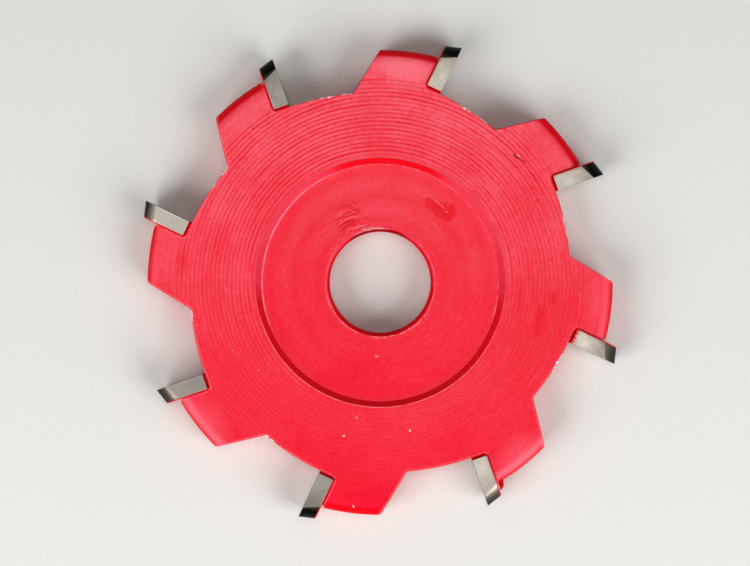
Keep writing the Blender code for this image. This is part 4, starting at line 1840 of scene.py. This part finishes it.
@dataclass
class TornPaint:
    """Flake of paint torn loose at the rim behind the fourth tip, curled up off the body."""

    thickness: float = 0.14
    foot_height: float = 7.9
    curl: float = 0.09
    clear_of_edge: float = 2.0
    outline: tuple[tuple[float, float], ...] = (
        (29.2, -49.2), (29.8, -48.7), (30.8, -49.0), (30.9, -50.0), (31.0, -50.95), (30.45, -50.55),
        (30.05, -50.3), (30.3, -52.1), (29.55, -50.5))

    def build(self, enamel: Material) -> Piece:
        """Make the flake.

        Args:
            enamel: Material of the paint.

        Returns:
            The finished piece.
        """
        builder = bmesh.new()
        rings = []
        for level in (0.0, self.thickness):
            ring = []
            for x, y in self.outline:
                rise = self.curl * (Vector((x, y)) - Vector(self.outline[0])).length_squared
                ring.append(builder.verts.new((x * MM, y * MM, (self.foot_height + level + rise) * MM)))
            rings.append(ring)
        builder.faces.new(rings[1])
        builder.faces.new(rings[0][::-1])
        bridge(builder, rings, capped=False)
        bmesh.ops.triangulate(builder, faces=builder.faces)
        bmesh.ops.recalc_face_normals(builder, faces=builder.faces)
        facing = builder.verts.layers.float.new("facing_up")
        edge = builder.verts.layers.float.new("edge_distance")
        for vert in builder.verts:
            vert[facing] = 0.0
            vert[edge] = self.clear_of_edge
        return add_piece("torn_paint", builder, [enamel])


@dataclass(frozen=True)
class SoftBox:
    """Soft lamp that faces the cutter."""

    name: str
    place: tuple[float, float, float]
    width: float
    height: float
    radiance: float

    def build(self) -> None:
        """Add the lamp, turned towards the middle of the cutter."""
        data = bpy.data.lights.new(self.name, "AREA")
        data.shape = "RECTANGLE"
        data.size = self.width
        data.size_y = self.height
        data.energy = self.radiance * self.width * self.height * math.pi
        lamp = bpy.data.objects.new(self.name, data)
        lamp.location = self.place
        aim = Vector((0.0, 0.0, SIZES.middle_height * MM)) - lamp.location
        lamp.rotation_euler = aim.to_track_quat("-Z", "Y").to_euler()
        bpy.context.scene.collection.objects.link(lamp)


@dataclass
class Studio:
    """Pale floor, soft lamps, a plain world and the camera straight above."""

    image_width: int = 750
    image_height: int = 566
    centre_pixel: tuple[float, float] = (380.12, 282.26)
    mm_per_pixel: float = 0.252016
    camera_place: tuple[float, float] = (-4.3, 5.0)
    camera_height: float = 600.0
    sensor: float = 36.0
    floor_size: float = 6.0
    world_colour: str = "#E6E6E4"
    world_light: float = 0.17
    world_shown: float = 0.95
    lamps: tuple[SoftBox, ...] = (
        SoftBox("overhead softbox", (0.0, 0.105, 0.75), 0.26, 0.16, 5.0),
        SoftBox("left softbox", (-0.55, -0.42, 0.50), 0.6, 0.6, 5.0),
        SoftBox("right softbox", (0.55, -0.42, 0.50), 0.6, 0.6, 5.0),
    )

    def build(self) -> None:
        """Make the floor, the lamps, the world and the camera."""
        builder = bmesh.new()
        bmesh.ops.create_grid(builder, x_segments=8, y_segments=8, size=self.floor_size / 2)
        add_piece("floor", builder, [PaleCard().material()])
        for lamp in self.lamps:
            lamp.build()
        self._set_world()
        self._add_camera()
        bpy.context.scene.view_settings.view_transform = "Standard"

    def _set_world(self) -> None:
        """Light the room evenly, and show the pale backdrop to the camera and to gloss."""
        world = bpy.data.worlds.new("studio")
        world.use_nodes = True
        bpy.context.scene.world = world
        tree = Tree(world.node_tree)
        path = tree.add("LightPath").node.outputs
        shown = path["Is Camera Ray"]
        for ray in ("Is Glossy Ray", "Is Transmission Ray"):
            shown = tree.add("Math", [shown, path[ray]], operation="MAXIMUM")
        light, backdrop = [tree.add("Background", [linear(self.world_colour), strength])
                           for strength in (self.world_light, self.world_shown)]
        tree.add("OutputWorld", [tree.add("MixShader", [shown, light, backdrop])])

    def _add_camera(self) -> None:
        """Set the camera where the photograph was taken from, straight above the cutter."""
        data = bpy.data.cameras.new("camera")
        data.sensor_width = self.sensor
        data.lens = self.sensor * self.camera_height / (self.image_width * self.mm_per_pixel)
        shown_x = self.image_width / 2 - self.camera_place[0] / self.mm_per_pixel
        shown_y = self.image_height / 2 + self.camera_place[1] / self.mm_per_pixel
        data.shift_x = (shown_x - self.centre_pixel[0]) / self.image_width
        data.shift_y = (self.centre_pixel[1] - shown_y) / self.image_width
        camera = bpy.data.objects.new("camera", data)
        camera.location = (self.camera_place[0] * MM, self.camera_place[1] * MM,
                           (self.camera_height + SIZES.middle_height) * MM)
        bpy.context.scene.collection.objects.link(camera)
        bpy.context.scene.camera = camera


# The side and nose tones of each tip are painted reflection, which differs from tip to tip
TIPS = (
    CarbideTip(1, SideTone.FADING, NoseTone.BLACK),
    CarbideTip(2, SideTone.FADING, NoseTone.BLACK),
    CarbideTip(3, SideTone.COMBED, NoseTone.GREY),
    CarbideTip(4, SideTone.EVEN, NoseTone.BRIGHT),
    CarbideTip(5, SideTone.GREY, NoseTone.BLACK),
    CarbideTip(6, SideTone.DIM, NoseTone.DULL),
    CarbideTip(7, SideTone.RISING, NoseTone.PALE),
    CarbideTip(8, SideTone.GREY, NoseTone.BLACK),
)


def report(piece: Piece) -> None:
    """Log a finished piece's triangles and size.

    Args:
        piece: The piece.
    """
    piece.data.calc_loop_triangles()
    size = [round(side / MM, 2) for side in piece.dimensions]
    LOG.info("%s: %d triangles, %s mm", piece.name, len(piece.data.loop_triangles), size)


def main() -> None:
    """Build each piece, set it in the frame, then make the studio."""
    logging.basicConfig(level=logging.INFO, format="%(name)s: %(message)s")
    enamel = SatinEnamel().material()
    body = ToothedBody().build(enamel)
    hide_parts("body")
    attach(body, BODY)
    report(body)

    sides = {tone: GroundCarbide(tone).material() for tone in SideTone}
    noses = {tone: PaintedReflectionNose(tone).material() for tone in NoseTone}
    rake = LappedRake().material()
    braze = PaintedBraze().material()
    for tip in TIPS:
        piece = tip.build([sides[tip.side], noses[tip.nose], rake, braze])
        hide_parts(f"tip_{tip.number}")
        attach(piece, BODY)
        report(piece)

    for piece in (BrazedSeats().build(braze), TornPaint().build(enamel)):
        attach(piece, BODY)
        report(piece)

    Studio().build()


if __name__ == "__main__":
    main()
